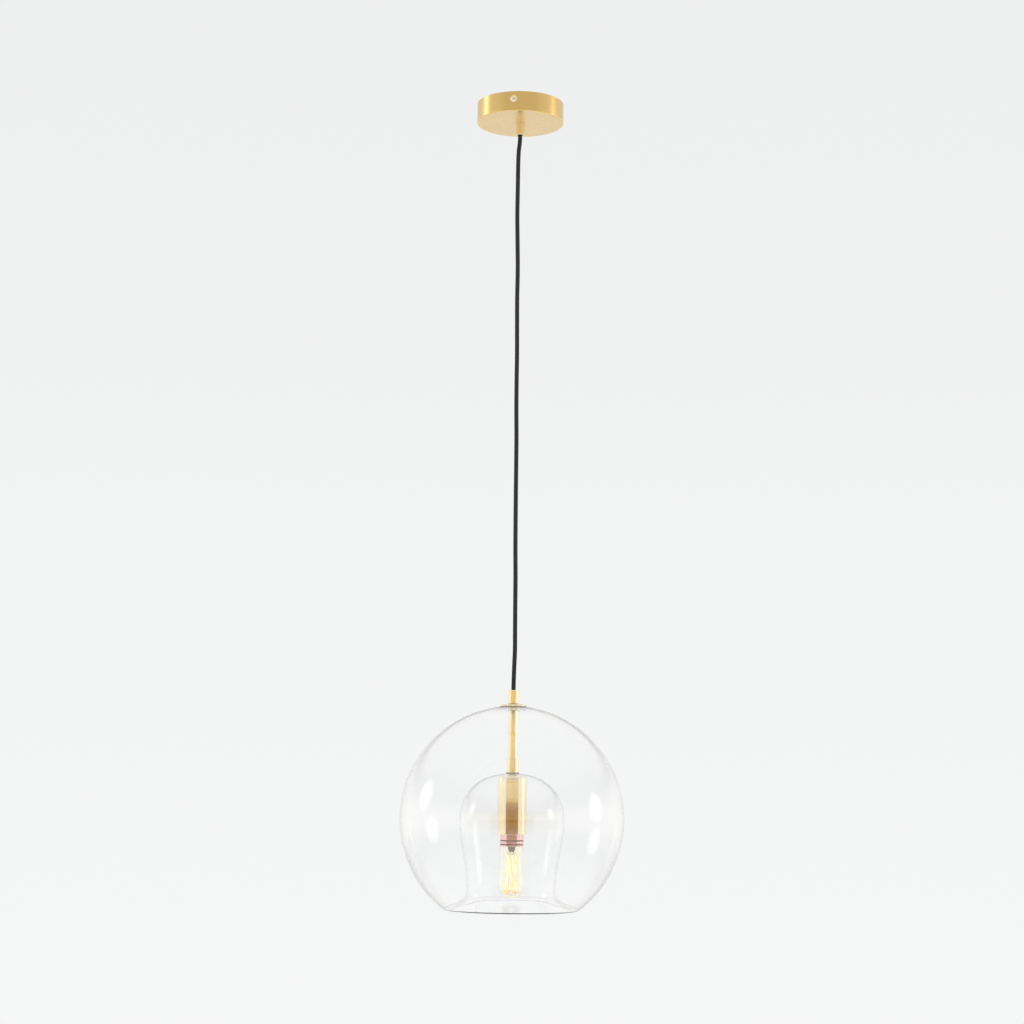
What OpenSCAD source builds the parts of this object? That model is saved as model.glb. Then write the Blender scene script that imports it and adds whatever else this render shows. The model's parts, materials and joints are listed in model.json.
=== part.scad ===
// Pendant ceiling light. A drum canopy holds a textile cord, and the cord holds a clear
// double-walled glass shade: a globe that is folded at its mouth into an inner bell.
// A hollow rod through the globe's pole carries the lamp cup under the bell's top, with
// a lampholder and a screw-in filament bulb inside it.
// Millimetres, +Z up. The origin is on the light's axis, in the plane of the ceiling.

/* [Canopy] */
// Outer diameter of the canopy drum
canopy_d = 120; // [100:1:150]
// Height of the canopy, from the ceiling to its underside
canopy_h = 27.5; // [26:0.5:45]
// Wall of the canopy drum
canopy_wall = 1; // [0.6:0.1:1.6]
// Outer radius of the drum's lower edge
canopy_edge_r = 1.5; // [1.2:0.1:3]
// Drop of the side screws' axis below the ceiling
side_screw_drop = 10.6; // [9:0.1:13]
// Thread diameter of the side screws
side_screw_d = 4; // [3:0.5:5]
// Head diameter of the side screws
side_head_d = 9.4; // [7:0.1:12]

/* [Ceiling bracket] */
// Width of the bracket strap
strap_w = 24; // [20:1:30]
// Thickness of the bracket strap
strap_t = 2; // [1.5:0.5:3]
// Distance between the centres of the two ceiling screw slots
slot_spacing = 70; // [64:1:78]
// Width of a ceiling screw slot
slot_w = 5; // [4:0.5:6]
// End-to-end length of a ceiling screw slot
slot_l = 12; // [8:1:16]
// Side of the two-pole terminal block across the poles
block_w = 20; // [18:1:26]

/* [Cord] */
// Diameter of the textile cord
cord_d = 6; // [5:0.1:7]
// Free cord between the canopy's grip and the cap on the shade
cord_free = 770; // [300:10:1500]
// Outer diameter of the cord grip under the canopy
grip_d = 12.5; // [12:0.5:16]
// Height of the cord grip under the canopy
grip_h = 16.5; // [16:0.5:24]

/* [Rod and stem] */
// Diameter of the hollow threaded rod
rod_d = 10; // [9:0.5:11]
// Bore of the hollow threaded rod
rod_bore = 7; // [6:0.5:7.5]
// Outer diameter of the cap on the shade
cap_d = 15.2; // [14:0.1:18]
// Height of the cap on the shade
cap_h = 17.3; // [17:0.1:24]
// Diameter of the domed flange on the globe's pole
flange_d = 37; // [34:1:44]
// Outer diameter of the stem tube inside the globe
stem_d = 13.6; // [12.5:0.1:15]
// Outer diameter of the collar above the bell
collar_d = 16.8; // [16:0.1:17.4]
// Height of the collar above the bell
collar_h = 18.8; // [10:0.2:26]

/* [Glass shade] */
// Outer diameter of the globe
globe_d = 300; // [260:5:360]
// Wall of the blown glass
glass_t = 2.6; // [2:0.1:3.5]
// Extra glass in the thick ring around the globe's pole
neck_extra = 5; // [2:0.5:6]
// Diameter of the hole in the globe's pole
pole_hole_d = 18; // [17.6:0.1:20]
// Diameter of the circle on which the mouth's lip stands
mouth_d = 177; // [150:1:190]
// Outer radius of the rounded lip
lip_r = 4; // [3.6:0.1:5]
// Height of the bell above the lip
bell_h = 180; // [165:1:190]
// Widest outer diameter of the bell
belly_d = 140; // [130:1:160]
// Height of the bell's widest place above the lip
belly_h = 119; // [105:1:130]
// Narrowest outer diameter of the bell
waist_d = 118; // [105:1:128]
// Height of the bell's narrowest place above the lip
waist_h = 23; // [18:1:35]

/* [Lamp cup and bulb] */
// Outer diameter of the lamp cup
cup_d = 39.6; // [39:0.1:46]
// Height of the lamp cup
cup_h = 76.6; // [74:0.2:90]
// Wall of the lamp cup
cup_wall = 1; // [0.8:0.1:1.3]
// Diameter of the bulb's envelope
bulb_d = 33; // [28:1:46]
// Length of the bulb's envelope below its collar
bulb_l = 70; // [60:1:80]
// Outer diameter of the bulb's collar
bulb_collar_d = 32; // [30:0.5:34]
// Length of the bulb's collar
bulb_collar_l = 17; // [14:0.5:20]
// Diameter over the thread of the bulb's cap
bulb_cap_d = 26.2; // [26:0.1:26.4]
// Pitch of the bulb's thread
bulb_pitch = 3.63; // [3.6:0.01:3.65]

/* [Hidden] */

ROUND = 96;
EPS = 0.01;
THREAD_GAP = 0.05;   // radial clearance in a simplified thread
SLIP = 0.3;          // clearance between soft or moving surfaces
FACE_GAP = 0.02;     // clearance between two faces that only rest on each other

// colours
BRASS = [0.85, 0.68, 0.36];
STEEL = [0.72, 0.73, 0.75];
NYLON = [0.93, 0.92, 0.88];
GLASS = [0.85, 0.92, 0.92, 0.35];
CORD_BLACK = [0.16, 0.16, 0.17];
LIVE = [0.45, 0.27, 0.14];
NEUTRAL = [0.2, 0.36, 0.7];
EARTH = [0.45, 0.62, 0.2];
ROSE = [0.86, 0.6, 0.58];

// ceiling end
canopy_r = canopy_d / 2;
canopy_in_r = canopy_r - canopy_wall;
floor_z = -canopy_h + canopy_wall;
tab_t = 2;
tab_gap = 1.5;
tab_out_y = canopy_in_r - tab_gap;
tab_drop = side_screw_drop + 5.4;
side_head_h = 2.8;
side_screw_l = canopy_wall + tab_gap + tab_t + 2;

// terminal block: hangs under the strap on the +Y side of the cord
block_y0 = 9;
block_l = 15;
block_h = 11;
block_wall = 1;
pole_x = block_w / 4;
pole_z = -strap_t - block_h / 2;
clamp_r = 2.4;
clamp_bore_r = 1.5;
clamp_screw_r = 1.25;
clamp_places = [0.3, 0.7];   // shares of the block's length
clamp_l = block_l - 2 * block_wall;
block_screw_r = 1.5;

// earth point: under the strap on the -Y side of the cord
earth_y = -20;
earth_screw_r = 2;
earth_head_r = 3.8;
earth_head_h = 2.4;
tag_t = 0.8;
tag_r = 4.6;
tag_barrel_r = 1.8;
tag_barrel_y0 = earth_y + tag_r - 0.6;
tag_barrel_y1 = tag_barrel_y0 + 5;
tag_barrel_z = -strap_t - tag_barrel_r;

// cord and its cores
cord_r = cord_d / 2;
core_r = 1.05;
core_orbit = 1.35;
bend_core_r = 1.6;
bend_cavity_r = bend_core_r + SLIP;
mouth_bore_r = cord_r + 1.2;
cord_top_z = -canopy_h - grip_h;
cord_bottom_z = cord_top_z - cord_free;

// cord grip
nipple_bore_r = cord_r + SLIP;
nipple_r = 5;
nipple_top_z = floor_z + 7.5;
grip_socket_l = 5;
collet_z1 = -canopy_h - grip_socket_l - 0.5;
collet_z0 = cord_top_z + 4.6;
nut_h = 3;
nut_af = 14;
washer_r = 9;
washer_t = 0.8;
head_top_z = nipple_top_z + 2;

// cap, rod and stem
cap_top_z = cord_bottom_z;
flange_top_z = cap_top_z - cap_h;
rod_r = rod_d / 2;
rod_top_z = flange_top_z + 5;
foot_top_z = cap_top_z - cord_r - SLIP;
foot_bottom_z = rod_top_z + 1.2;
flange_t = 1.2;
flange_rise = 3;
flange_stand = 3.7;
globe_top_z = flange_top_z - flange_stand;
gasket_t = 1.2;
bell_gasket_r = collar_d / 2 + 0.6;
crown_room = 0.44;

// glass: the globe's centre, the fold at the mouth and the bell above it
globe_r = globe_d / 2;
globe_z = globe_top_z - globe_r;
fold_r = mouth_d / 2;
fold_tilt = asin(fold_r / (globe_r - lip_r));
fold_z = globe_z - (globe_r - lip_r) * cos(fold_tilt);
lip_z = fold_z - lip_r;
flare_tilt = 22;
bell_top_z = lip_z + bell_h;
bell_hole_r = rod_r + 0.6;
half_t = glass_t / 2;
neck_r = 25;
crown_pull = 0.6;   // share of the crown's height and width over which its curve keeps its heading

// lamp cup and lampholder
cup_r = cup_d / 2;
cup_shoulder_r = 2.5;
cup_gasket_t = crown_sag(cup_r - cup_shoulder_r) + crown_room;
cup_top_z = bell_top_z - glass_t - cup_gasket_t;
cup_bottom_z = cup_top_z - cup_h;
cup_top_t = 1.5;
cup_washer_z = cup_top_z - cup_top_t;
cup_nut_z = cup_washer_z - 1;
holder_r = 17.6;
holder_mouth_z = cup_bottom_z + 1.3;
shell_r = bulb_cap_d / 2 + 0.2;
shell_t = 0.6;
shell_top_z = holder_mouth_z + 31;
holder_floor_t = 5;
floor_top_z = shell_top_z + holder_floor_t;
holder_neck_z = floor_top_z + 14;
holder_joint_z = floor_top_z + 10;
holder_top_z = cup_nut_z - nut_h - 1;
entry_l = 8;
rod_bottom_z = holder_top_z - entry_l;

// terminals on the lampholder's floor, one per core, around the axis
terminal_r = 10;
terminal_side = 5;
terminal_h = 6;
terminal_z = floor_top_z + terminal_h;
terminal_az = [90, 210, 330];
terminal_hole_z = floor_top_z + 3;

// bulb
collar_top_z = holder_mouth_z - SLIP;
collar_bottom_z = collar_top_z - bulb_collar_l;
bulb_r = bulb_d / 2;
bulb_z = collar_bottom_z - bulb_l + bulb_r;
bulb_wall = 0.8;
bulb_neck_r = bulb_collar_d / 2 - 1.2;
neck_depth = 9;
cap_l = 22.8;
cap_wall = 0.5;
bulb_cap_top_z = collar_top_z + cap_l;
insulator_h = 2.3;
tip_h = 1.8;
tip_top_z = bulb_cap_top_z + insulator_h + tip_h;
contact_z = tip_top_z + SLIP;
filament_n = 6;
filament_r = 0.9;
filament_twist = 75;
filament_top = [0.44 * bulb_neck_r, collar_bottom_z - 11];
filament_foot = [0.55 * bulb_r, bulb_z - 0.5 * bulb_r];
stem_flare_z = collar_bottom_z + 5;
stem_rod_r = 1.6;
stem_tip_z = bulb_z - 5;
support_r = 0.4;

// The free cord's route: how far to the side it lies, at each share of the way down in per cent.
CORD_ROUTE = [
    [0, 0], [-0.2, 1], [-0.9, 2], [-1.7, 3], [-2.2, 5], [-2.3, 7], [-2.4, 10], [-2.6, 15],
    [-1.8, 20], [-1.1, 25], [-1.4, 30], [-1.1, 35], [-0.7, 40], [-0.8, 45], [-0.7, 50],
    [-0.1, 55], [0, 60], [0, 65], [0.1, 70], [0.3, 75], [0.9, 80], [1, 85], [1.2, 90],
    [1.3, 93], [0.6, 96], [0.1, 98.5], [0, 100]
];
CORD_SIDES = 10;
CORE_SIDES = 8;
CORD_STEPS = 2;      // rings between two route points
CORE_STEPS = 8;      // rings along one bend of a core

// --- curves and sweeps ---------------------------------------------------------------

function unit(v) = v / norm(v);

// Point of a cubic Bezier curve through four control points
function bezier(p, t) =
    pow(1 - t, 3) * p[0] + 3 * pow(1 - t, 2) * t * p[1]
    + 3 * (1 - t) * t * t * p[2] + pow(t, 3) * p[3];

function bezier_run(p, n) = [for (i = [1 : n]) bezier(p, i / n)];

// Points of an arc about c, from angle a0 to a1, in n steps
function arc(c, r, a0, a1, n) =
    [for (i = [0 : n]) let (a = a0 + (a1 - a0) * i / n) c + r * [cos(a), sin(a)]];

// Rounded curve through a list of points, with n steps in each span
function through(p, n) =
    let (last = len(p) - 1)
    concat([p[0]], [
        for (i = [0 : last - 1])
        let (a = p[max(i - 1, 0)], b = p[i], c = p[i + 1], d = p[min(i + 2, last)])
        for (k = [1 : n])
        let (t = k / n)
        0.5 * (2 * b + (c - a) * t + (2 * a - 5 * b + 4 * c - d) * t * t
               + (3 * b - a - 3 * c + d) * pow(t, 3))
    ]);

// Direction of a path at its point i
function heading(path, i) = unit(path[min(i + 1, len(path) - 1)] - path[max(i - 1, 0)]);

// Ring of points about point i of a path; across is a direction that the path never takes
function ring(path, i, r, sides, across) =
    let (t = heading(path, i), u = unit(cross(across, t)), v = cross(t, u))
    [for (k = [0 : sides - 1]) path[i] + r * (cos(360 * k / sides) * u + sin(360 * k / sides) * v)];

// Solid tube along a path, with one radius for each of its points
module tube(path, radii, sides, across) {
    count = len(path);
    points = [for (i = [0 : count - 1]) each ring(path, i, radii[i], sides, across)];
    walls = [
        for (i = [0 : count - 2], k = [0 : sides - 1])
        let (a = i * sides + k, b = i * sides + (k + 1) % sides)
        each [[a, b, b + sides], [a, b + sides, a + sides]]
    ];
    first = [for (k = [sides - 1 : -1 : 0]) k];
    final = [for (k = [0 : sides - 1]) (count - 1) * sides + k];
    polyhedron(points, concat([first], walls, [final]));
}

// Insulated core of the cord along a path
module core(path, across) {
    tube(path, [for (p = path) core_r], CORE_SIDES, across);
}

// Hollow or solid round piece: inner and outer radius, lower and upper end
module pipe(r0, r1, z0, z1) {
    difference() {
        translate([0, 0, z0]) cylinder(r = r1, h = z1 - z0, $fn = ROUND);
        if (r0 > 0)
            translate([0, 0, z0 - 1]) cylinder(r = r0, h = z1 - z0 + 2, $fn = ROUND);
    }
}

// Round rod between two points
module rod_between(a, b, r) {
    d = b - a;
    translate(a)
        rotate([0, acos(d[2] / norm(d)), atan2(d[1], d[0])])
        cylinder(r = r, h = norm(d), $fn = 24);
}

// Hexagon nut with a round bore
module hex_nut(af, bore_r, z0, h) {
    difference() {
        translate([0, 0, z0]) cylinder(r = af / sqrt(3), h = h, $fn = 6);
        translate([0, 0, z0 - 1]) cylinder(r = bore_r, h = h + 2, $fn = ROUND);
    }
}

// Domed screw head on the plane z = 0, with a cross slot
module domed_head(r, h) {
    ball = (r * r + h * h) / (2 * h);
    difference() {
        intersection() {
            cylinder(r = r, h = h, $fn = 48);
            translate([0, 0, h - ball]) sphere(r = ball, $fn = 48);
        }
        for (turn = [0, 90])
            rotate([0, 0, turn])
            translate([-r * 0.55, -r * 0.09, h * 0.55])
            cube([r * 1.1, r * 0.18, h]);
    }
}

// --- ceiling end -----------------------------------------------------------------------

module ceiling_bracket() {
    color(STEEL)
    difference() {
        union() {
            translate([-strap_w / 2, -tab_out_y, -strap_t])
                cube([strap_w, 2 * tab_out_y, strap_t]);
            for (side = [-1, 1])
                translate([-strap_w / 3, side * (tab_out_y - tab_t / 2) - tab_t / 2, -tab_drop])
                cube([strap_w * 2 / 3, tab_t, tab_drop]);
        }
        // the strap's ends follow the drum's round wall
        difference() {
            translate([0, 0, -tab_drop - 1]) cylinder(r = canopy_r + 5, h = tab_drop + 2, $fn = ROUND);
            translate([0, 0, -tab_drop - 2])
                cylinder(r = canopy_in_r - SLIP, h = tab_drop + 4, $fn = ROUND);
        }
        for (side = [-1, 1])
            translate([0, side * slot_spacing / 2, -strap_t - 1]) slot(strap_t + 2);
        for (side = [-1, 1])
            translate([0, side * tab_out_y, -side_screw_drop])
            rotate([90, 0, 0])
            cylinder(r = side_screw_d / 2 + THREAD_GAP, h = 4 * tab_t, center = true, $fn = 48);
        translate([0, earth_y, -strap_t - 1])
            cylinder(r = earth_screw_r + THREAD_GAP, h = strap_t + 2, $fn = 48);
        translate([0, block_y0 + block_l / 2, -strap_t - 1])
            cylinder(r = block_screw_r + THREAD_GAP, h = strap_t + 2, $fn = 48);
    }
}

// Slot along Y with round ends
module slot(h) {
    straight = slot_l - slot_w;
    for (end = [-1, 1])
        translate([0, end * straight / 2, 0]) cylinder(r = slot_w / 2, h = h, $fn = 48);
    translate([-slot_w / 2, -straight / 2, 0]) cube([slot_w, straight, h]);
}

module canopy() {
    in_edge_r = canopy_edge_r - canopy_wall;
    color(BRASS)
    difference() {
        rotate_extrude($fn = ROUND)
            polygon(concat(
                [[nipple_r + 0.1, floor_z], [nipple_r + 0.1, -canopy_h]],
                arc([canopy_r - canopy_edge_r, -canopy_h + canopy_edge_r], canopy_edge_r, -90, 0, 6),
                [[canopy_r, 0], [canopy_in_r, 0]],
                arc([canopy_in_r - in_edge_r, floor_z + in_edge_r], in_edge_r, 0, -90, 4)
            ));
        for (side = [-1, 1])
            translate([0, side * canopy_r, -side_screw_drop])
            rotate([90, 0, 0])
            cylinder(r = side_screw_d / 2 + SLIP, h = 10, center = true, $fn = 48);
    }
}

module canopy_screws() {
    color(BRASS)
    for (turn = [0, 180])
        rotate([0, 0, turn])
        translate([0, -canopy_r - FACE_GAP, -side_screw_drop])
        rotate([90, 0, 0])
        union() {
            domed_head(side_head_d / 2, side_head_h);
            translate([0, 0, -side_screw_l])
                cylinder(r = side_screw_d / 2, h = side_screw_l + EPS, $fn = 48);
        }
}

module earth_screw() {
    color(STEEL)
    translate([0, earth_y, -strap_t - tag_t - FACE_GAP])
    union() {
        cylinder(r = earth_screw_r, h = strap_t + tag_t - 0.2, $fn = 48);
        mirror([0, 0, 1]) domed_head(earth_head_r, earth_head_h);
    }
}

module earth_tag() {
    color(STEEL)
    difference() {
        union() {
            translate([0, earth_y, -strap_t - tag_t]) cylinder(r = tag_r, h = tag_t, $fn = 48);
            translate([0, tag_barrel_y0 - 1, tag_barrel_z])
                rotate([-90, 0, 0])
                cylinder(r = tag_barrel_r - FACE_GAP, h = tag_barrel_y1 - tag_barrel_y0 + 1, $fn = 48);
        }
        translate([0, earth_y, -strap_t - 5]) cylinder(r = earth_screw_r + 0.1, h = 10, $fn = 48);
        translate([0, earth_y, -strap_t - tag_t - 5])
            cylinder(r = earth_head_r + SLIP, h = 5, $fn = 48);
        translate([0, tag_barrel_y0 + 0.5, tag_barrel_z])
            rotate([-90, 0, 0])
            cylinder(r = core_r + 0.2, h = 10, $fn = 48);
    }
}

// Centre line of the bores for the clamps, along Y
module at_poles() {
    for (side = [-1, 1])
        translate([side * pole_x, block_y0, pole_z]) children();
}

module terminal_block() {
    color(NYLON)
    difference() {
        translate([-block_w / 2, block_y0, -strap_t - block_h])
            cube([block_w, block_l, block_h - FACE_GAP]);
        at_poles() {
            translate([0, -1, 0])
                rotate([-90, 0, 0])
                cylinder(r = clamp_r + THREAD_GAP, h = block_l + 2, $fn = 48);
            for (along = clamp_places)
                translate([0, block_l * along, -block_h])
                cylinder(r = clamp_screw_r + 0.55, h = block_h, $fn = 32);
        }
        translate([0, block_y0 + block_l / 2, -strap_t - block_h - 1])
            cylinder(r = block_screw_r + 0.1, h = block_h + 2, $fn = 32);
    }
}

module terminal_clamps() {
    color(BRASS)
    at_poles()
    difference() {
        translate([0, block_wall, 0])
            rotate([-90, 0, 0])
            cylinder(r = clamp_r, h = clamp_l, $fn = 48);
        rotate([-90, 0, 0]) cylinder(r = clamp_bore_r, h = block_l, $fn = 48);
        for (along = clamp_places)
            translate([0, block_l * along, -block_h])
            cylinder(r = clamp_screw_r + THREAD_GAP, h = block_h, $fn = 32);
    }
}

module terminal_screws() {
    color(STEEL)
    at_poles()
    for (along = clamp_places)
        translate([0, block_l * along, -clamp_r - 2])
        difference() {
            cylinder(r = clamp_screw_r, h = 2 + clamp_r - clamp_bore_r + 0.2, $fn = 32);
            translate([-2, -0.25, -1]) cube([4, 0.5, 1.6]);
        }
}

module block_screw() {
    color(STEEL)
    translate([0, block_y0 + block_l / 2, -strap_t - block_h - FACE_GAP])
    union() {
        mirror([0, 0, 1]) domed_head(2.6, 1.6);
        cylinder(r = block_screw_r, h = block_h + strap_t - 0.4, $fn = 32);
    }
}

// --- cord grip ---------------------------------------------------------------------------

module grip_sleeve() {
    chamfer = 0.6;
    r = grip_d / 2;
    top = -canopy_h - FACE_GAP;
    color(BRASS)
    rotate_extrude($fn = ROUND)
        polygon([
            [nipple_r + THREAD_GAP, top], [r, top], [r, cord_top_z + chamfer],
            [r - chamfer, cord_top_z], [mouth_bore_r + chamfer, cord_top_z],
            [mouth_bore_r, cord_top_z + chamfer], [mouth_bore_r, collet_z0],
            [nipple_r + THREAD_GAP, collet_z0 + 1.2]
        ]);
}

module grip_nipple() {
    color(BRASS)
    pipe(nipple_bore_r, nipple_r, -canopy_h - grip_socket_l, nipple_top_z);
}

module grip_washer() {
    color(STEEL)
    pipe(nipple_r + 0.1, washer_r, floor_z + FACE_GAP, floor_z + washer_t);
}

module grip_locknut() {
    color(STEEL)
    hex_nut(nut_af, nipple_r + THREAD_GAP, floor_z + washer_t + FACE_GAP, nut_h);
}

module grip_collet() {
    color(NYLON)
    difference() {
        rotate_extrude($fn = ROUND)
            polygon([
                [cord_r + 0.1, collet_z0 + 1.4], [nipple_r - 0.2, collet_z0 + 1.4],
                [nipple_r - 0.05, collet_z1], [cord_r + 0.1, collet_z1]
            ]);
        for (turn = [0, 90])
            rotate([0, 0, turn])
            translate([-nipple_r - 1, -0.3, collet_z0])
            cube([2 * nipple_r + 2, 0.6, (collet_z1 - collet_z0) / 2]);
    }
}

// --- cord and cores ------------------------------------------------------------------------

module cord_head() {
    color(CORD_BLACK)
    pipe(0, cord_r, cord_top_z + cord_r + SLIP, head_top_z);
}

// The three cores leave the head's end face around the axis
function core_start(az) = [core_orbit * cos(az), core_orbit * sin(az), head_top_z + 0.2];

// Core from the cord's head to one pole of the block
function pole_path(az, x) =
    let (
        a = core_start(az),
        b = [x, block_y0 - 1.5, pole_z],
        c = [x, block_y0 + block_wall + 3, pole_z],
        reach = (b[2] - a[2]) * 0.9
    )
    concat([a], bezier_run([a, a + [0, 0, reach], b - [0, 6, 0], b], CORE_STEPS), [c]);

module core_live() {
    color(LIVE) core(pole_path(150, -pole_x), [1, 0, 0]);
}

module core_neutral() {
    color(NEUTRAL) core(pole_path(30, pole_x), [1, 0, 0]);
}

module core_earth() {
    a = core_start(270);
    b = [0, tag_barrel_y1 + 1, tag_barrel_z];
    c = [0, tag_barrel_y0 + 1, tag_barrel_z];
    reach = (b[2] - a[2]) * 0.7;
    color(EARTH)
    core(concat([a], bezier_run([a, a + [0, 0, reach], b + [0, 6, 0], b], CORE_STEPS), [c]), [1, 0, 0]);
}

// The cord's bend at a mouth is a ball of its cores, which carries the first of two crossed
// hinges inside the cord's round end
module cord_bend(z) {
    translate([0, 0, z]) sphere(r = bend_core_r, $fn = 24);
}

module cord_bend_top() {
    color(CORD_BLACK) cord_bend(cord_top_z);
}

module cord_bend_bottom() {
    color(CORD_BLACK) cord_bend(cord_bottom_z);
}

module cord() {
    round_a = [15, 40, 65];
    route = through([for (p = CORD_ROUTE) [p[0], 0, cord_top_z - cord_free * p[1] / 100]], CORD_STEPS);
    head = [for (a = round_a) [0, 0, cord_top_z + cord_r * cos(a)]];
    foot = [for (i = [2 : -1 : 0]) [0, 0, cord_bottom_z - cord_r * cos(round_a[i])]];
    radii = concat(
        [for (a = round_a) cord_r * sin(a)],
        [for (p = route) cord_r],
        [for (i = [2 : -1 : 0]) cord_r * sin(round_a[i])]
    );
    color(CORD_BLACK)
    difference() {
        tube(concat(head, route, foot), radii, CORD_SIDES, [0, 1, 0]);
        for (z = [cord_top_z, cord_bottom_z])
            translate([0, 0, z]) sphere(r = bend_cavity_r, $fn = 24);
    }
}

module cord_foot() {
    color(CORD_BLACK)
    pipe(0, cord_r, foot_bottom_z, foot_top_z);
}

// --- cap, rod and stem ---------------------------------------------------------------------

module top_cap() {
    chamfer = 1;
    r = cap_d / 2;
    seat = cap_top_z - 4.4;
    color(BRASS)
    rotate_extrude($fn = ROUND)
        polygon([
            [mouth_bore_r + 0.4, cap_top_z], [r - chamfer, cap_top_z], [r, cap_top_z - chamfer],
            [r, flange_top_z + FACE_GAP], [rod_r + THREAD_GAP, flange_top_z + FACE_GAP],
            [rod_r + THREAD_GAP, seat - 1], [mouth_bore_r, seat], [mouth_bore_r, cap_top_z - 0.4]
        ]);
}

module cap_collet() {
    color(NYLON)
    pipe(cord_r + 0.2, rod_r - THREAD_GAP, rod_top_z + FACE_GAP, cap_top_z - 5.6);
}

// Height of the flange's upper face over the radius
function flange_z(r) = flange_top_z - flange_rise * pow(2 * r / flange_d, 2);

module flange_disc() {
    steps = 10;
    in_r = rod_r + 0.1;
    out_r = flange_d / 2;
    rs = [for (i = [0 : steps]) in_r + (out_r - in_r) * i / steps];
    color(BRASS)
    rotate_extrude($fn = ROUND)
        polygon(concat(
            [for (r = rs) [r, flange_z(r)]],
            [for (i = [steps : -1 : 0]) [rs[i], flange_z(rs[i]) - flange_t]]
        ));
}

// Height of the globe's outer face over the radius
function globe_face_z(r) = globe_z + sqrt(globe_r * globe_r - r * r);

module neck_gasket() {
    steps = 4;
    in_r = pole_hole_d / 2 + 1;
    out_r = flange_d / 2 - 1.5;
    rs = [for (i = [0 : steps]) in_r + (out_r - in_r) * i / steps];
    color(NYLON)
    rotate_extrude($fn = ROUND)
        polygon(concat(
            [for (r = rs) [r, flange_z(r) - flange_t - THREAD_GAP]],
            [for (i = [steps : -1 : 0]) [rs[i], globe_face_z(rs[i]) + THREAD_GAP]]
        ));
}

module threaded_rod() {
    color(BRASS)
    pipe(rod_bore / 2, rod_r, rod_bottom_z, rod_top_z);
}

module stem_tube() {
    color(BRASS)
    pipe(rod_r + SLIP, stem_d / 2, bell_top_z + gasket_t + collar_h + FACE_GAP,
         flange_z(stem_d / 2) - flange_t - FACE_GAP);
}

module stem_collar() {
    color(BRASS)
    pipe(rod_r + SLIP, collar_d / 2, bell_top_z + gasket_t + FACE_GAP,
         bell_top_z + gasket_t + collar_h);
}

module bell_gasket_top() {
    color(NYLON)
    pipe(rod_r + SLIP, bell_gasket_r, bell_top_z + FACE_GAP, bell_top_z + gasket_t);
}

module bell_gasket_bottom() {
    crown_drop = 0.2;   // the bell's top falls this much from its hole to the gasket's edge
    color(NYLON)
    pipe(rod_r + SLIP, bell_gasket_r, cup_top_z + FACE_GAP, cup_top_z + cup_gasket_t - crown_drop);
}

// --- glass shade -----------------------------------------------------------------------------

// Wall at an angle from the pole: thicker in the ring around the pole
function globe_wall(a) =
    let (r = globe_r * sin(a))
    glass_t + (r < neck_r ? neck_extra * (1 + cos(180 * r / neck_r)) / 2 : 0);

function globe_point(a, depth) = [(globe_r - depth) * sin(a), globe_z + (globe_r - depth) * cos(a)];

// The bell's widest point and its top, on the centre line of its wall
function bell_belly() = [belly_d / 2 - half_t, lip_z + belly_h];
function bell_top() = [bell_hole_r, bell_top_z - half_t];

// How far the bell's crown falls from its hole to a radius
function crown_sag(r) =
    let (span = bell_belly() - bell_top(), share = (r - bell_hole_r) / (3 * crown_pull * span[0]))
    3 * (crown_pull - 1) * span[1] * share * share;

// Centre line of the bell's wall, from the fold at the lip to the hole in its top
function bell_line() =
    let (
        start = [fold_r, fold_z] - (lip_r - half_t) * [sin(flare_tilt), cos(flare_tilt)],
        waist = [waist_d / 2 - half_t, lip_z + waist_h],
        belly = bell_belly(),
        top = bell_top(),
        flare = 0.62 * (start[0] - waist[0]),
        rise = 0.5 * (waist[1] - start[1]),
        swell = 0.4 * (belly[1] - waist[1]),
        crown = crown_pull * (top[1] - belly[1]),
        shoulder = crown_pull * (belly[0] - top[0])
    )
    concat(
        [start],
        bezier_run([start, start + flare * [-cos(flare_tilt), sin(flare_tilt)],
                    waist - [0, rise], waist], 10),
        bezier_run([waist, waist + [0, swell], belly - [0, swell], belly], 12),
        bezier_run([belly, belly + [0, crown], top + [shoulder, 0], top], 18)
    );

// A line moved sideways by d, towards its left
function beside(line, d) = [
    for (i = [0 : len(line) - 1])
    let (t = heading(line, i))
    i == len(line) - 1 ? line[i] + [0, -d] : line[i] + d * [-t[1], t[0]]
];

function backwards(list) = [for (i = [len(list) - 1 : -1 : 0]) list[i]];

// The glass is blown in one piece. Its two nodes meet at the lowest point of the fold.
fold_foot_a = -90;
fold_gap_a = 0.4;

module glass_globe() {
    steps = 44;
    hole_r = pole_hole_d / 2;
    first_a = asin(hole_r / globe_r);
    last_a = 180 - fold_tilt;
    angles = [for (i = [0 : steps]) first_a + (last_a - first_a) * i / steps];
    inner_angles = [for (a = angles) if ((globe_r - globe_wall(a)) * sin(a) > hole_r + 0.4) a];
    neck_end = [hole_r, globe_point(first_a, globe_wall(first_a))[1]];
    outer = concat(
        [for (a = angles) globe_point(a, 0)],
        arc([fold_r, fold_z], lip_r, fold_tilt - 90, fold_foot_a, 7)
    );
    inner = concat(
        [neck_end],
        [for (a = inner_angles) globe_point(a, globe_wall(a))],
        arc([fold_r, fold_z], lip_r - glass_t, fold_tilt - 90, fold_foot_a, 4)
    );
    color(GLASS)
    rotate_extrude($fn = ROUND)
        polygon(concat(outer, backwards(inner)));
}

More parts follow.
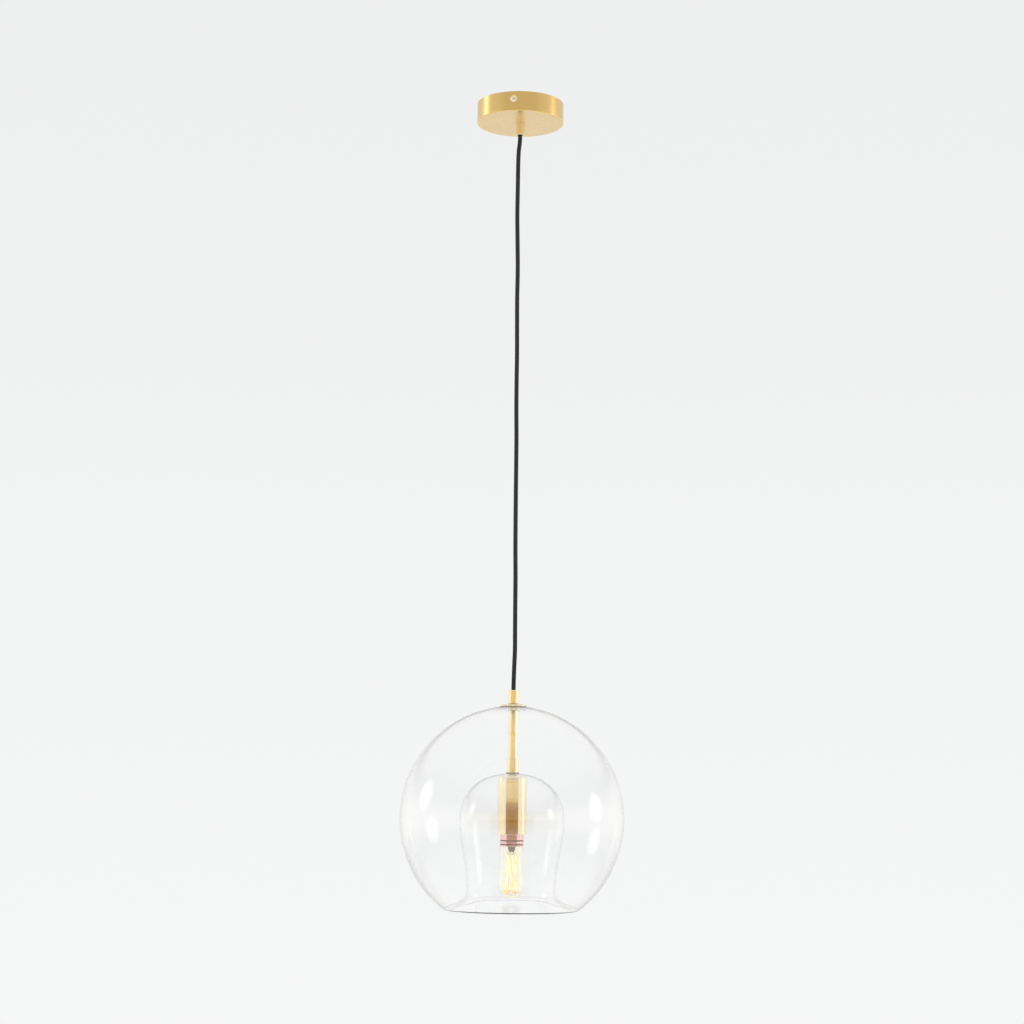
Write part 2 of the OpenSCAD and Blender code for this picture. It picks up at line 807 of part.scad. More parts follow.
module glass_bell() {
    line = bell_line();
    from_a = fold_foot_a - fold_gap_a;
    to_a = fold_foot_a - flare_tilt;
    room_side = [for (i = [1 : len(line) - 1]) beside(line, half_t)[i]];
    cavity_side = [for (i = [1 : len(line) - 1]) beside(line, -half_t)[i]];
    color(GLASS)
    rotate_extrude($fn = ROUND)
        polygon(concat(
            arc([fold_r, fold_z], lip_r, from_a, to_a, 4),
            room_side,
            backwards(cavity_side),
            arc([fold_r, fold_z], lip_r - glass_t, to_a, from_a, 3)
        ));
}

// --- lamp cup and lampholder --------------------------------------------------------------------

module lamp_cup() {
    in_r = cup_r - cup_wall;
    shoulder = cup_shoulder_r - cup_wall;
    color(BRASS)
    rotate_extrude($fn = ROUND)
        polygon(concat(
            [[rod_r + 0.1, cup_top_z]],
            arc([cup_r - cup_shoulder_r, cup_top_z - cup_shoulder_r], cup_shoulder_r, 90, 0, 6),
            [[cup_r, cup_bottom_z], [in_r, cup_bottom_z]],
            arc([in_r - shoulder, cup_top_z - cup_top_t - shoulder], shoulder, 0, 90, 4),
            [[rod_r + 0.1, cup_top_z - cup_top_t]]
        ));
}

module cup_washer() {
    color(STEEL) pipe(rod_r + 0.1, washer_r, cup_nut_z, cup_washer_z - FACE_GAP);
}

module cup_nut() {
    color(STEEL) hex_nut(nut_af, rod_r + THREAD_GAP, cup_nut_z - nut_h, nut_h - FACE_GAP);
}

module holder_cap() {
    boss_r = 8;
    color(NYLON)
    rotate_extrude($fn = ROUND)
        polygon([
            [rod_r + THREAD_GAP, holder_top_z], [boss_r, holder_top_z],
            [boss_r, holder_top_z - entry_l + 2], [holder_r, holder_neck_z + 2],
            [holder_r, holder_joint_z + FACE_GAP], [holder_r - 1.25, holder_joint_z + FACE_GAP],
            [holder_r - 1.25, holder_neck_z], [boss_r, rod_bottom_z - 0.6],
            [rod_r + THREAD_GAP, rod_bottom_z - 0.6]
        ]);
}

module holder_body() {
    in_r = shell_r + shell_t + THREAD_GAP;
    neck_out_r = holder_r - 1.3;
    neck_in_r = neck_out_r - 1.3;
    color(NYLON)
    difference() {
        rotate_extrude($fn = ROUND)
            polygon([
                [0, shell_top_z], [in_r, shell_top_z], [in_r, holder_mouth_z],
                [holder_r, holder_mouth_z], [holder_r, holder_joint_z],
                [neck_out_r, holder_joint_z], [neck_out_r, holder_neck_z - 1],
                [neck_in_r, holder_neck_z - 1], [neck_in_r, floor_top_z], [0, floor_top_z]
            ]);
        translate([0, 0, shell_top_z - 1]) cylinder(r = 2, h = holder_floor_t + 2, $fn = 32);
        rotate([0, 0, terminal_az[1]])
            translate([terminal_r + 1, 0, shell_top_z - 1])
            cylinder(r = 1.4, h = holder_floor_t + 2, $fn = 32);
    }
}

module holder_shell() {
    lip = 0.8;
    color(BRASS) {
        pipe(shell_r, shell_r + shell_t, holder_mouth_z + 0.5, shell_top_z - FACE_GAP);
        pipe(shell_r - lip, shell_r + EPS, shell_top_z - lip, shell_top_z - FACE_GAP);
    }
}

// Brass terminal on the holder's floor, with holes for its core and its screw
module terminal(az) {
    rotate([0, 0, az])
    difference() {
        translate([terminal_r - terminal_side / 2, -terminal_side / 2, floor_top_z + FACE_GAP])
            cube([terminal_side, terminal_side, terminal_h]);
        translate([terminal_r - terminal_side, 0, terminal_hole_z])
            rotate([0, 90, 0])
            cylinder(r = core_r + 0.2, h = terminal_side + 0.8, $fn = 32);
        translate([terminal_r, 0, terminal_hole_z])
            cylinder(r = clamp_screw_r + THREAD_GAP, h = terminal_h, $fn = 32);
    }
}

module centre_contact() {
    color(BRASS)
    union() {
        terminal(terminal_az[0]);
        rotate([0, 0, terminal_az[0]])
            translate([0, -1.5, floor_top_z + FACE_GAP])
            cube([terminal_r - terminal_side / 2 + EPS, 3, 0.8]);
        pipe(0, 1.6, contact_z + 0.8 - EPS, floor_top_z + 0.5);
        pipe(0, 4, contact_z, contact_z + 0.8);
    }
}

module side_contact() {
    color(BRASS)
    union() {
        terminal(terminal_az[1]);
        rotate([0, 0, terminal_az[1]])
            translate([terminal_r + 1, 0, 0])
            pipe(0, 1.1, bulb_cap_top_z + SLIP, floor_top_z + 0.5);
    }
}

module holder_earth() {
    color(BRASS) terminal(terminal_az[2]);
}

module holder_screws() {
    color(STEEL)
    for (az = terminal_az)
        rotate([0, 0, az])
        translate([terminal_r, 0, terminal_hole_z + core_r + 0.5])
        difference() {
            cylinder(r = clamp_screw_r, h = terminal_h - 2, $fn = 32);
            translate([-2, -0.25, terminal_h - 2.8]) cube([4, 0.5, 2]);
        }
}

// Core from the cord's foot down the rod to its terminal
module lamp_core(az) {
    out = [cos(az), sin(az), 0];
    a = core_orbit * out + [0, 0, foot_bottom_z - 0.3];
    b = core_orbit * out + [0, 0, rod_bottom_z - 1];
    c = (terminal_r - terminal_side / 2 - 1) * out + [0, 0, terminal_hole_z];
    d = (terminal_r - 0.5) * out + [0, 0, terminal_hole_z];
    drop = (b[2] - c[2]) * 0.8;
    path = concat([a, b], bezier_run([b, b - [0, 0, drop], c - 3 * out, c], CORE_STEPS), [d]);
    core(path, [-sin(az), cos(az), 0]);
}

module lamp_core_live() {
    color(LIVE) lamp_core(terminal_az[0]);
}

module lamp_core_neutral() {
    color(NEUTRAL) lamp_core(terminal_az[1]);
}

module lamp_core_earth() {
    color(EARTH) lamp_core(terminal_az[2]);
}

// --- bulb ----------------------------------------------------------------------------------------

module bulb_tip() {
    color(STEEL) pipe(0, 4.8, tip_top_z - tip_h + FACE_GAP, tip_top_z);
}

module bulb_insulator() {
    color([0.1, 0.1, 0.12])
    translate([0, 0, bulb_cap_top_z + FACE_GAP])
        cylinder(r1 = 9.6, r2 = 6, h = insulator_h - FACE_GAP, $fn = ROUND);
}

// Metal cap with round grooves in place of its thread
module bulb_cap() {
    r = bulb_cap_d / 2;
    groove = 0.45;
    turns = floor((cap_l - 5) / bulb_pitch);
    color(STEEL)
    difference() {
        pipe(0, r, collar_top_z + FACE_GAP, bulb_cap_top_z);
        pipe(0, r - 2 * cap_wall - groove, collar_top_z - 1, bulb_cap_top_z - cap_wall);
        for (i = [0 : turns - 1])
            translate([0, 0, collar_top_z + 4 + i * bulb_pitch])
            rotate_extrude($fn = ROUND)
            translate([r + 0.9, 0])
            circle(r = 0.9 + groove, $fn = 24);
    }
}

module bulb_driver() {
    board_w = bulb_cap_d - 5;
    board_t = 1.2;
    chip = [6, 3.5, 8];
    capacitor_r = 2.8;
    color([0.2, 0.45, 0.3])
    translate([0, 0, collar_top_z + 2])
    union() {
        translate([-board_w / 2, -board_t / 2, 0]) cube([board_w, board_t, cap_l - 5]);
        translate([-chip[0] / 2 - 1, board_t / 2 - 0.1, 3]) cube(chip);
        translate([capacitor_r + 0.7, -capacitor_r - board_t / 3, 2])
            cylinder(r = capacitor_r, h = 11, $fn = 32);
    }
}

module bulb_collar() {
    r = bulb_collar_d / 2;
    groove_w = 1.4;
    groove_depth = 0.6;
    lid_t = 1.5;
    lid_hole_r = 8;
    color(ROSE)
    difference() {
        pipe(0, r, collar_bottom_z, collar_top_z);
        pipe(0, bulb_neck_r + 0.2, collar_bottom_z - 1, collar_top_z - lid_t);
        pipe(0, lid_hole_r, collar_top_z - lid_t - 1, collar_top_z + 1);
        for (share = [0.5, 0.8])
            translate([0, 0, collar_top_z - share * bulb_collar_l])
            pipe(r - groove_depth, r + 1, -groove_w, 0);
    }
}

// Outline of the bulb's envelope at a depth below its outer face, from the neck to the end
function bulb_line(depth) =
    let (
        neck = [bulb_neck_r - depth, collar_bottom_z],
        join = [bulb_r - depth, bulb_z],
        lead = (neck - join) / 3
    )
    concat(
        [neck + [0, neck_depth], neck],
        bezier_run([neck, neck - [0, lead[1]], join + [0, lead[1]], join], 10),
        arc([0, bulb_z], bulb_r - depth, -4, -90, 20)
    );

module bulb_glass() {
    color(GLASS)
    rotate_extrude($fn = ROUND)
        polygon(concat(bulb_line(0), backwards(bulb_line(bulb_wall))));
}

module bulb_stem() {
    flare_r = bulb_neck_r - bulb_wall - FACE_GAP;
    color(GLASS)
    rotate_extrude($fn = ROUND)
        polygon([
            [0, stem_flare_z + 1], [flare_r, stem_flare_z + 1], [flare_r, stem_flare_z],
            [6, stem_flare_z - 4], [3.4, stem_flare_z - 12], [stem_rod_r, stem_flare_z - 15],
            [stem_rod_r, stem_tip_z], [0, stem_tip_z]
        ]);
}

// Azimuth of a filament's upper end; its lower end is turned on by the twist
function filament_az(i) = 45 + i * 360 / filament_n;

function ray(az, r, z) = [r * cos(az), r * sin(az), z];

// One filament's ends
function filament_head(i) = ray(filament_az(i), filament_top[0], filament_top[1]);
function filament_tail(i) = ray(filament_az(i) + filament_twist, filament_foot[0], filament_foot[1]);

module bulb_filaments() {
    color([1, 0.85, 0.55])
    for (i = [0 : filament_n - 1])
        rod_between(filament_head(i), filament_tail(i), filament_r);
}

// Wires from the glass stem to the ends of the filaments
module bulb_supports() {
    root = stem_rod_r + support_r + THREAD_GAP;
    gap = filament_r + support_r + THREAD_GAP;
    color(STEEL)
    for (i = [0 : filament_n - 1]) {
        az = filament_az(i);
        rod_between(ray(az, root, filament_top[1] + 0.3),
                    filament_head(i) + [0, 0, gap], support_r);
        rod_between(ray(az + filament_twist, root, stem_tip_z + 1),
                    filament_tail(i) - ray(az + filament_twist, gap, 0), support_r);
    }
}

ceiling_bracket();
canopy();
canopy_screws();
earth_screw();
earth_tag();
terminal_block();
terminal_clamps();
terminal_screws();
block_screw();
grip_sleeve();
grip_nipple();
grip_washer();
grip_locknut();
grip_collet();
cord_head();
core_live();
core_neutral();
core_earth();
cord_bend_top();
cord();
cord_bend_bottom();
cord_foot();
top_cap();
cap_collet();
flange_disc();
neck_gasket();
threaded_rod();
stem_tube();
stem_collar();
bell_gasket_top();
glass_globe();
glass_bell();
bell_gasket_bottom();
lamp_cup();
cup_washer();
cup_nut();
holder_cap();
holder_body();
holder_shell();
centre_contact();
side_contact();
holder_earth();
holder_screws();
lamp_core_live();
lamp_core_neutral();
lamp_core_earth();
bulb_tip();
bulb_insulator();
bulb_cap();
bulb_driver();
bulb_collar();
bulb_glass();
bulb_stem();
bulb_filaments();
bulb_supports();
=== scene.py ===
"""Pendant ceiling light: brass canopy, braided cord, folded glass globe, lamp cup and filament bulb.

Laid out as an add-on: every piece has an operator, and the sizes and colours are properties.
Lengths are in metres. The origin is on the light's axis in the ceiling's plane, and Z points up.
"""
import json
import math

import bpy
from bpy.props import FloatProperty, FloatVectorProperty, IntProperty, PointerProperty
from mathutils import Matrix, Vector


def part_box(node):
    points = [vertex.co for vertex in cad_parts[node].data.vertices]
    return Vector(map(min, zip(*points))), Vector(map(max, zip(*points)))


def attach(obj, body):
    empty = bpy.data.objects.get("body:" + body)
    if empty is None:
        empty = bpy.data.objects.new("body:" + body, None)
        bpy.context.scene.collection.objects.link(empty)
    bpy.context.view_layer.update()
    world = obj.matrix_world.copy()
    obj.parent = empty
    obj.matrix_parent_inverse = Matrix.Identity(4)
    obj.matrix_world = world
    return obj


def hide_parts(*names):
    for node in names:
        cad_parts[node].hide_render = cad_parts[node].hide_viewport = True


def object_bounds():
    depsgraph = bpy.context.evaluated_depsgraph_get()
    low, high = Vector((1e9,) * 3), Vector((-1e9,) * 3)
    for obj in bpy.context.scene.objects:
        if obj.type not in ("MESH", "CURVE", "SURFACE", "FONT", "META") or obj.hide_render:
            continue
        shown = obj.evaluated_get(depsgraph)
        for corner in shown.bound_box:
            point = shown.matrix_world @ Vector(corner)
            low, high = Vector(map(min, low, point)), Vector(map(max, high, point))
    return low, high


bl_info = {
    "name": "Pendant Ceiling Light",
    "version": (1, 0, 0),
    "blender": (4, 5, 0),
    "location": "View3D > Sidebar > Pendant",
    "description": "Models and finishes a glass globe pendant around its packed frame",
    "category": "Object",
}

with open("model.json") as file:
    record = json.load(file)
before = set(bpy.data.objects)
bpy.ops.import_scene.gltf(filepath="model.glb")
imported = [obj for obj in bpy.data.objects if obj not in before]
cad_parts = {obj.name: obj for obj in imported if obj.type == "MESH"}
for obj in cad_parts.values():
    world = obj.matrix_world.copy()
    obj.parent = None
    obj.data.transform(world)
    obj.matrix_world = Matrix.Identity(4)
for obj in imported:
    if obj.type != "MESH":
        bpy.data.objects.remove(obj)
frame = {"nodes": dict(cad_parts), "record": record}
CAD_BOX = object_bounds()
MM = 0.001
WELD = 0.002 * MM  # points nearer than this are one
LONG_RUN = 4.0  # a run this many times longer than its neighbour is braced
CORD_BORE = 4.2 * MM  # radius of the fittings' mouths round the cord
THREAD_BORE = 5.05 * MM
STEM_BORE = 5.3 * MM
ROD_HOLE = 5.1 * MM
GLOBE_RADIUS = 150 * MM
FLANGE_TO_POLE = 3.4 * MM  # from the flange's top down to the globe's pole


def radius_of(node):
    """Outer radius of a round CAD node."""
    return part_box(node)[1].x


def top_of(node):
    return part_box(node)[1].z


def foot_of(node):
    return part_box(node)[0].z


# --- sizes and colours --------------------------------------------------------------------------


def length(name, text, value):
    return FloatProperty(name=name, description=text, default=value, subtype="DISTANCE", unit="LENGTH")


def colour(name, text, value):
    return FloatVectorProperty(
        name=name, description=text, default=value, size=3, min=0.0, max=1.0, subtype="COLOR"
    )


def angle(name, text, degrees):
    return FloatProperty(name=name, description=text, default=math.radians(degrees), subtype="ANGLE")


def number(name, text, value, low=0.0):
    return FloatProperty(name=name, description=text, default=value, min=low)


class GlassSizes(bpy.types.PropertyGroup):
    wall: length("Wall", "Thickness of the blown glass", 0.0026)
    ring_extra: length("Pole ring", "Extra glass around the pole hole", 0.005)
    ring_reach: length("Pole ring reach", "Radius over which the extra glass fades out", 0.025)
    pole_hole: length("Pole hole", "Radius of the hole in the pole", 0.009)
    mouth: length("Mouth", "Radius of the circle that the lip stands on", 0.0885)
    lip: length("Lip", "Radius of the rounded fold at the mouth", 0.004)
    waist: length("Waist", "Narrowest outer radius of the bell", 0.059)
    waist_rise: length("Waist rise", "Height of the waist above the lip", 0.023)
    belly: length("Belly", "Widest outer radius of the bell", 0.070)
    belly_rise: length("Belly rise", "Height of the belly above the lip", 0.119)
    bell_height: length("Bell height", "Height of the bell above the lip", 0.180)
    bell_hole: length("Bell hole", "Radius of the hole in the bell's top", 0.0056)
    tint: colour("Tint", "Colour of the glass", (0.995, 0.998, 0.997))


class MetalColours(bpy.types.PropertyGroup):
    canopy: colour("Canopy", "Satin brass of the canopy", (0.90, 0.62, 0.21))
    polished: colour("Fittings", "Polished brass of the fittings", (0.95, 0.81, 0.57))
    steel: colour("Steel", "Zinc-plated steel of the bracket and screws", (0.62, 0.63, 0.64))
    nickel: colour("Cap", "Nickel-plated cap of the bulb", (0.74, 0.73, 0.70))


class CordLook(bpy.types.PropertyGroup):
    diameter: length("Diameter", "Diameter of the braided cord", 0.006)
    strands: IntProperty(
        name="Strands", description="Strands each way round the braid", default=10, min=6, max=16
    )
    relief: length("Relief", "How far the strands stand out of the braid", 0.00012)
    yarn: colour("Yarn", "Main colour of the braid", (0.017, 0.018, 0.022))
    fleck: colour("Fleck", "Lighter yarn in the braid", (0.050, 0.052, 0.060))


class BulbLook(bpy.types.PropertyGroup):
    neck: length("Neck", "Radius of the envelope's neck", 0.0148)
    wall: length("Wall", "Wall of the bulb's glass", 0.0008)
    thread_pitch: length("Thread pitch", "Pitch of the bulb's thread", 0.00363)
    band: colour("Band", "Colour of the bulb's collar", (0.97, 0.60, 0.58))
    sticks: IntProperty(name="Sticks", description="Light sticks in the bulb", default=6, min=2, max=8)
    twist: angle("Twist", "Turn between a stick's ends", 75)
    tint: colour("Tint", "Colour of the bulb's glass", (1.0, 0.985, 0.91))
    glow: colour("Glow", "Light of the sticks", (1.0, 0.66, 0.26))
    glow_strength: number("Strength", "Brightness of the sticks", 1.0)
    halo: colour("Halo", "Light scattered by the bulb's glass", (1.0, 0.80, 0.45))
    halo_strength: number("Halo strength", "Brightness of the halo", 0.015)


class StageLook(bpy.types.PropertyGroup):
    lens: number("Lens", "Focal length in millimetres", 73.8, 10.0)
    distance: length("Distance", "Camera's distance from the light's axis", 2.831)
    eye: length("Eye height", "Camera's height against the ceiling", -0.935)
    azimuth: angle("Azimuth", "Camera's turn around the light", 9)
    tilt: angle("Tilt", "Camera's upward tilt", 7.3)
    roll: angle("Roll", "Camera's roll", 0.7)
    pan: angle("Pan", "Camera's turn to the side", 0.1)
    backdrop: colour("Backdrop", "Pale paper behind the light", (0.875, 0.878, 0.880))
    floor_drop: length("Floor", "Floor's depth below the ceiling", 2.45)


# --- shader maths -------------------------------------------------------------------------------


def maths(operation):
    """An operator or a method of Value that adds one Math node."""

    def apply(value, *others):
        return value.shop.node("ShaderNodeMath", {"operation": operation}, dict(enumerate((value,) + others)))

    return apply


class Value:
    """A node socket that takes part in Python expressions: every operator adds a Math node."""

    __add__ = __radd__ = maths("ADD")
    __sub__ = maths("SUBTRACT")
    __mul__ = __rmul__ = maths("MULTIPLY")
    __truediv__ = maths("DIVIDE")
    __pow__ = maths("POWER")
    sine, size, fraction, whole, root = map(maths, ("SINE", "ABSOLUTE", "FRACT", "FLOOR", "SQRT"))
    least, most, angle_with = map(maths, ("MINIMUM", "MAXIMUM", "ARCTAN2"))

    def __init__(self, shop, socket):
        self.shop = shop
        self.socket = socket

    def __rsub__(self, other):
        return self * -1 + other

    def ramp(self, low, high):
        """0 below low, 1 above high, and smooth between them."""
        sockets = {"Value": self, "From Min": low, "From Max": high}
        return self.shop.node("ShaderNodeMapRange", {"interpolation_type": "SMOOTHSTEP"}, sockets)


class Shop:
    """Adds nodes to one material's or world's tree."""

    def __init__(self, owner):
        owner.use_nodes = True
        self.owner = owner
        self.tree = owner.node_tree
        self.tree.nodes.clear()

    def node(self, kind, settings=None, sockets=None, out=0):
        """A node with its settings, then the values or links of its inputs; gives the output asked for."""
        item = self.tree.nodes.new(kind)
        for name, value in (settings or {}).items():
            if name == "stops":
                self.set_stops(item.color_ramp, value)
            else:
                setattr(item, name, value)
        for key, value in (sockets or {}).items():
            target = item.inputs[key]
            if isinstance(value, Value):
                self.tree.links.new(value.socket, target)
            elif hasattr(value, "__len__"):
                target.default_value = tuple(value) + (1.0,) * (len(target.default_value) - len(value))
            else:
                target.default_value = value
        return Value(self, item.outputs[out]) if item.outputs else None

    @staticmethod
    def set_stops(ramp, stops):
        while len(ramp.elements) < len(stops):
            ramp.elements.new(1.0)
        for element, (place, tone) in zip(ramp.elements, stops):
            element.position = place
            element.color = tuple(tone) + (1.0,)

    def place(self):
        """Object coordinates as a vector."""
        return self.node("ShaderNodeTexCoord", out="Object")

    def parts(self, vector):
        split = self.node("ShaderNodeSeparateXYZ", None, {0: vector}).socket.node
        return [Value(self, split.outputs[i]) for i in range(3)]

    def vector(self, x, y, z):
        return self.node("ShaderNodeCombineXYZ", None, {0: x, 1: y, 2: z})

    def noise(self, vector, scale, detail=2.0, roughness=0.5):
        sockets = {"Vector": vector, "Scale": scale, "Detail": detail, "Roughness": roughness}
        return self.node("ShaderNodeTexNoise", None, sockets, "Fac")

    def mix(self, share, first, second):
        return self.node("ShaderNodeMix", {"data_type": "RGBA"}, {0: share, 6: first, 7: second}, 2)

    def tones_of(self, share, stops):
        return self.node("ShaderNodeValToRGB", {"stops": stops}, {"Fac": share})

    def bump(self, height, depth, strength=1.0):
        return self.node("ShaderNodeBump", None, {"Strength": strength, "Distance": depth, "Height": height})

    def surface(self, **values):
        """Principled surface from values named like its inputs, with _ for a space."""
        sockets = {name.replace("_", " "): value for name, value in values.items()}
        shader = self.node("ShaderNodeBsdfPrincipled", None, sockets)
        self.node("ShaderNodeOutputMaterial", None, {"Surface": shader})
        return self.owner


def new_shop(name):
    return Shop(bpy.data.materials.new(name))


def shade(base, factor):
    return [min(1.0, c * factor) for c in base]


def tones(shop, base, spread):
    """Darker and lighter tone of a colour, mixed by slow clouds."""
    clouds = shop.noise(shop.place(), 38.0, 3.0)
    return shop.mix(clouds, shade(base, 1 - spread), shade(base, 1 + spread))


def brass(name, base, rough, vary, turned, wear, lacquer):
    """Lacquered brass with turning marks round the light's axis, faint clouds and touch marks."""
    shop = new_shop(name)
    place = shop.place()
    x, y, z = shop.parts(place)
    reach = (x * x + y * y).root()
    marks = shop.noise(shop.vector(reach * 900.0, z * 900.0, 0.0), 1.0, 3.0, 0.6)
    broad = shop.noise(shop.vector(reach * 120.0, z * 120.0, 3.0), 1.0, 2.0)
    smears = shop.noise(place, 55.0, 4.0, 0.62).ramp(0.45, 0.75)
    specks = shop.noise(place, 700.0, 2.0).ramp(0.70, 0.78)
    tone = shop.mix(smears * 0.16 + specks * wear, tones(shop, base, 0.05), shade(base, 0.72))
    roughness = (marks * 0.07 + broad * 0.05 + smears * 0.08) * vary + rough
    return shop.surface(
        Base_Color=tone,
        Metallic=1.0,
        Roughness=roughness,
        Coat_Weight=lacquer,
        Coat_Roughness=0.05,
        Normal=shop.bump(marks, turned, 0.5),
    )


def plated(name, base, rough, grain=60.0):
    """Plated metal: crystalline clouds, faint drawing lines along Y and dull spots."""
    shop = new_shop(name)
    place = shop.place()
    x, y, z = shop.parts(place)
    lines = shop.noise(shop.vector(x * 1600.0, y * 40.0, z * 1600.0), 1.0, 2.0)
    clouds = shop.noise(place, grain, 4.0, 0.6)
    tone = shop.mix(clouds.ramp(0.3, 0.7), shade(base, 0.86), shade(base, 1.08))
    return shop.surface(
        Base_Color=tone,
        Metallic=1.0,
        Roughness=clouds * 0.16 + lines * 0.08 + (rough - 0.12),
        Normal=shop.bump(lines, 0.00002, 0.4),
    )


def rose_plate(name, base):
    """Polished rose plate over the band, with painted shade in dark red in its two grooves, and dulled by
    touch.
    """
    shop = new_shop(name)
    place = shop.place()
    x, y, _ = shop.parts(place)
    reach = (x * x + y * y).root()
    face = radius_of("bulb_collar")
    # groove masks the two grooves, where shade is painted in dark red over the plate
    groove = 1 - reach.ramp(face - 0.5 * MM, face - 0.2 * MM)
    touch = shop.noise(place, 120.0, 4.0, 0.6)
    tone = shop.mix(touch.ramp(0.3, 0.7), shade(base, 0.92), base)
    return shop.surface(
        # painted shade: dark red in the grooves
        Base_Color=shop.mix(groove, tone, (0.20, 0.07, 0.07)),
        Metallic=1.0,
        Roughness=touch * 0.12 + groove * 0.4 + 0.08,
        Coat_Weight=0.4,
        Coat_Roughness=0.05,
        Normal=shop.bump(touch, 0.00003, 0.3),
    )


def moulded(name, base, rough):
    """Moulded plastic with a fine spark-eroded grain and slight flow marks."""
    shop = new_shop(name)
    place = shop.place()
    fine = shop.noise(place, 2600.0, 2.0)
    flow = shop.noise(place, 45.0, 3.0, 0.55)
    tone = shop.mix(flow, shade(base, 0.92), shade(base, 1.04))
    return shop.surface(
        Base_Color=tone,
        Roughness=flow * 0.10 + fine * 0.06 + (rough - 0.08),
        Normal=shop.bump(fine, 0.00003, 0.5),
    )


def blown_glass(name, tint, ripple, seeds, halo=(0, 0, 0), halo_strength=0.0):
    """Clear blown glass: slow ripples of the wall, faint turning lines and a few tiny seeds; the halo is a
    painted glow on the glass that stands in for light scattered in it.
    """
    shop = new_shop(name)
    place = shop.place()
    z = shop.parts(place)[2]
    slow = shop.noise(place, 11.0, 1.0)
    turn = shop.noise(shop.vector(0.0, 0.0, z * 55.0), 1.0, 2.0)
    dots = shop.node("ShaderNodeTexVoronoi", None, {"Vector": place, "Scale": 52.0}, "Distance")
    seed = 1 - dots.ramp(0.030, 0.055)
    height = slow * ripple + turn * (ripple * 0.35) + seed * seeds
    film = shop.noise(place, 24.0, 4.0, 0.6).ramp(0.55, 0.85)
    return shop.surface(
        Base_Color=shop.mix(film * 0.5, tint, shade(tint, 0.985)),
        Roughness=film * 0.012,
        IOR=1.45,
        Transmission_Weight=1.0,
        # painted glow: the halo emission stands in for the bulb's light scattered in its glass
        Emission_Color=halo,
        Emission_Strength=halo_strength,
        Normal=shop.bump(height, 1.0, 1.0),
    )


def braid(name, look, from_map):
    """Textile braid: two sets of strands that pass over and under, with fine yarns and flecks, and painted
    shade in the low gaps between strands.
    """
    shop = new_shop(name)
    if from_map:
        around, along, _ = shop.parts(shop.node("ShaderNodeUVMap", {"uv_map": "braid"}))
    else:
        x, y, z = shop.parts(shop.place())
        around = y.angle_with(x) / (2 * math.pi) * look.strands
        along = z / braid_pitch(look)
    right = (around + along).fraction()
    left = (around - along).fraction()
    parity = (((around + along).whole() + (around - along).whole()) * 0.5).fraction() * 2
    across = parity * (right - left) + left
    lie = parity * (left - right) + right
    rise = (across * math.pi).sine() * ((lie * math.pi).sine() ** 0.4)
    yarns = (across * (2 * math.pi * 7)).sine().size()
    fuzz = shop.noise(shop.place(), 3200.0, 3.0, 0.7)
    fleck = shop.noise(shop.vector(around * 2.0, along * 2.0, 0.0), 1.0, 1.0).ramp(0.52, 0.62)
    dusty = shop.noise(shop.place(), 30.0, 3.0)
    yarn = shop.mix(fleck * 0.45 + fuzz * 0.35, look.yarn, look.fleck)
    # painted shade: the yarn darkens to a quarter of its colour where the braid's surface sinks between
    # strands
    yarn_with_gap_shade = shop.mix(rise.ramp(0.0, 0.55), shade(look.yarn, 0.25), yarn)
    return shop.surface(
        Base_Color=shop.mix(dusty * 0.12, yarn_with_gap_shade, look.fleck),
        Roughness=0.80 + yarns * 0.12,
        Sheen_Weight=0.12,
        Sheen_Roughness=0.45,
        Normal=shop.bump(rise * 0.8 + yarns * 0.25 + fuzz * 0.3, 0.00018, 0.8),
    )


def insulation(name, base, stripe=None):
    """Soft insulation of a core, with die lines, a waxy bloom and, on the earth core, a second colour."""
    shop = new_shop(name)
    place = shop.place()
    x, _, z = shop.parts(place)
    bloom = shop.noise(place, 90.0, 3.0)
    tone = shop.mix(bloom, shade(base, 0.85), shade(base, 1.1))
    if stripe:
        side = ((x + z * 0.6) * 1500.0).sine().ramp(-0.1, 0.1)
        tone = shop.mix(side, tone, stripe)
    return shop.surface(
        Base_Color=tone,
        Roughness=bloom * 0.15 + 0.35,
        Normal=shop.bump(shop.noise(place, 1800.0, 2.0), 0.00002, 0.4),
    )


def glowing(name, look):
    """Phosphor-coated light stick: a row of chips, hottest along its middle and amber at its ends."""
    shop = new_shop(name)
    z = shop.parts(shop.place())[2]
    chips = ((z * 2600.0).sine() * 0.5 + 0.5) ** 0.5
    grain = shop.noise(shop.place(), 1500.0, 2.0)
    patches = shop.noise(shop.place(), 110.0, 2.0).ramp(0.42, 0.60)
    amber = shop.mix(chips, shade(look.glow, 0.8), look.glow)
    foot = foot_of("bulb_filaments")
    amber = shop.mix(z.ramp(foot, foot + 0.006), (0.80, 0.26, 0.07), amber)
    hot = shop.mix(patches * z.ramp(foot + 0.003, foot + 0.008), amber, (1.0, 0.93, 0.78))
    return shop.surface(
        Base_Color=(0.95, 0.72, 0.30),
        Roughness=grain * 0.2 + 0.45,
        Emission_Color=hot,
        Emission_Strength=look.glow_strength,
    )


def circuit_board(name):
    """Green lacquered board with copper-coloured tracks."""
    shop = new_shop(name)
    place = shop.place()
    x, _, z = shop.parts(place)
    tracks = ((z * 2400.0).sine() * (x * 1900.0).sine()).ramp(0.35, 0.45)
    weave = shop.noise(place, 900.0, 2.0)
    board = shop.mix(weave, (0.02, 0.13, 0.06), (0.04, 0.20, 0.10))
    return shop.surface(
        Base_Color=shop.mix(tracks, board, (0.75, 0.55, 0.30)),
        Metallic=tracks,
        Roughness=0.35 + weave * 0.2,
        Normal=shop.bump(tracks, 0.00004, 0.6),
    )


FINISHES = {}


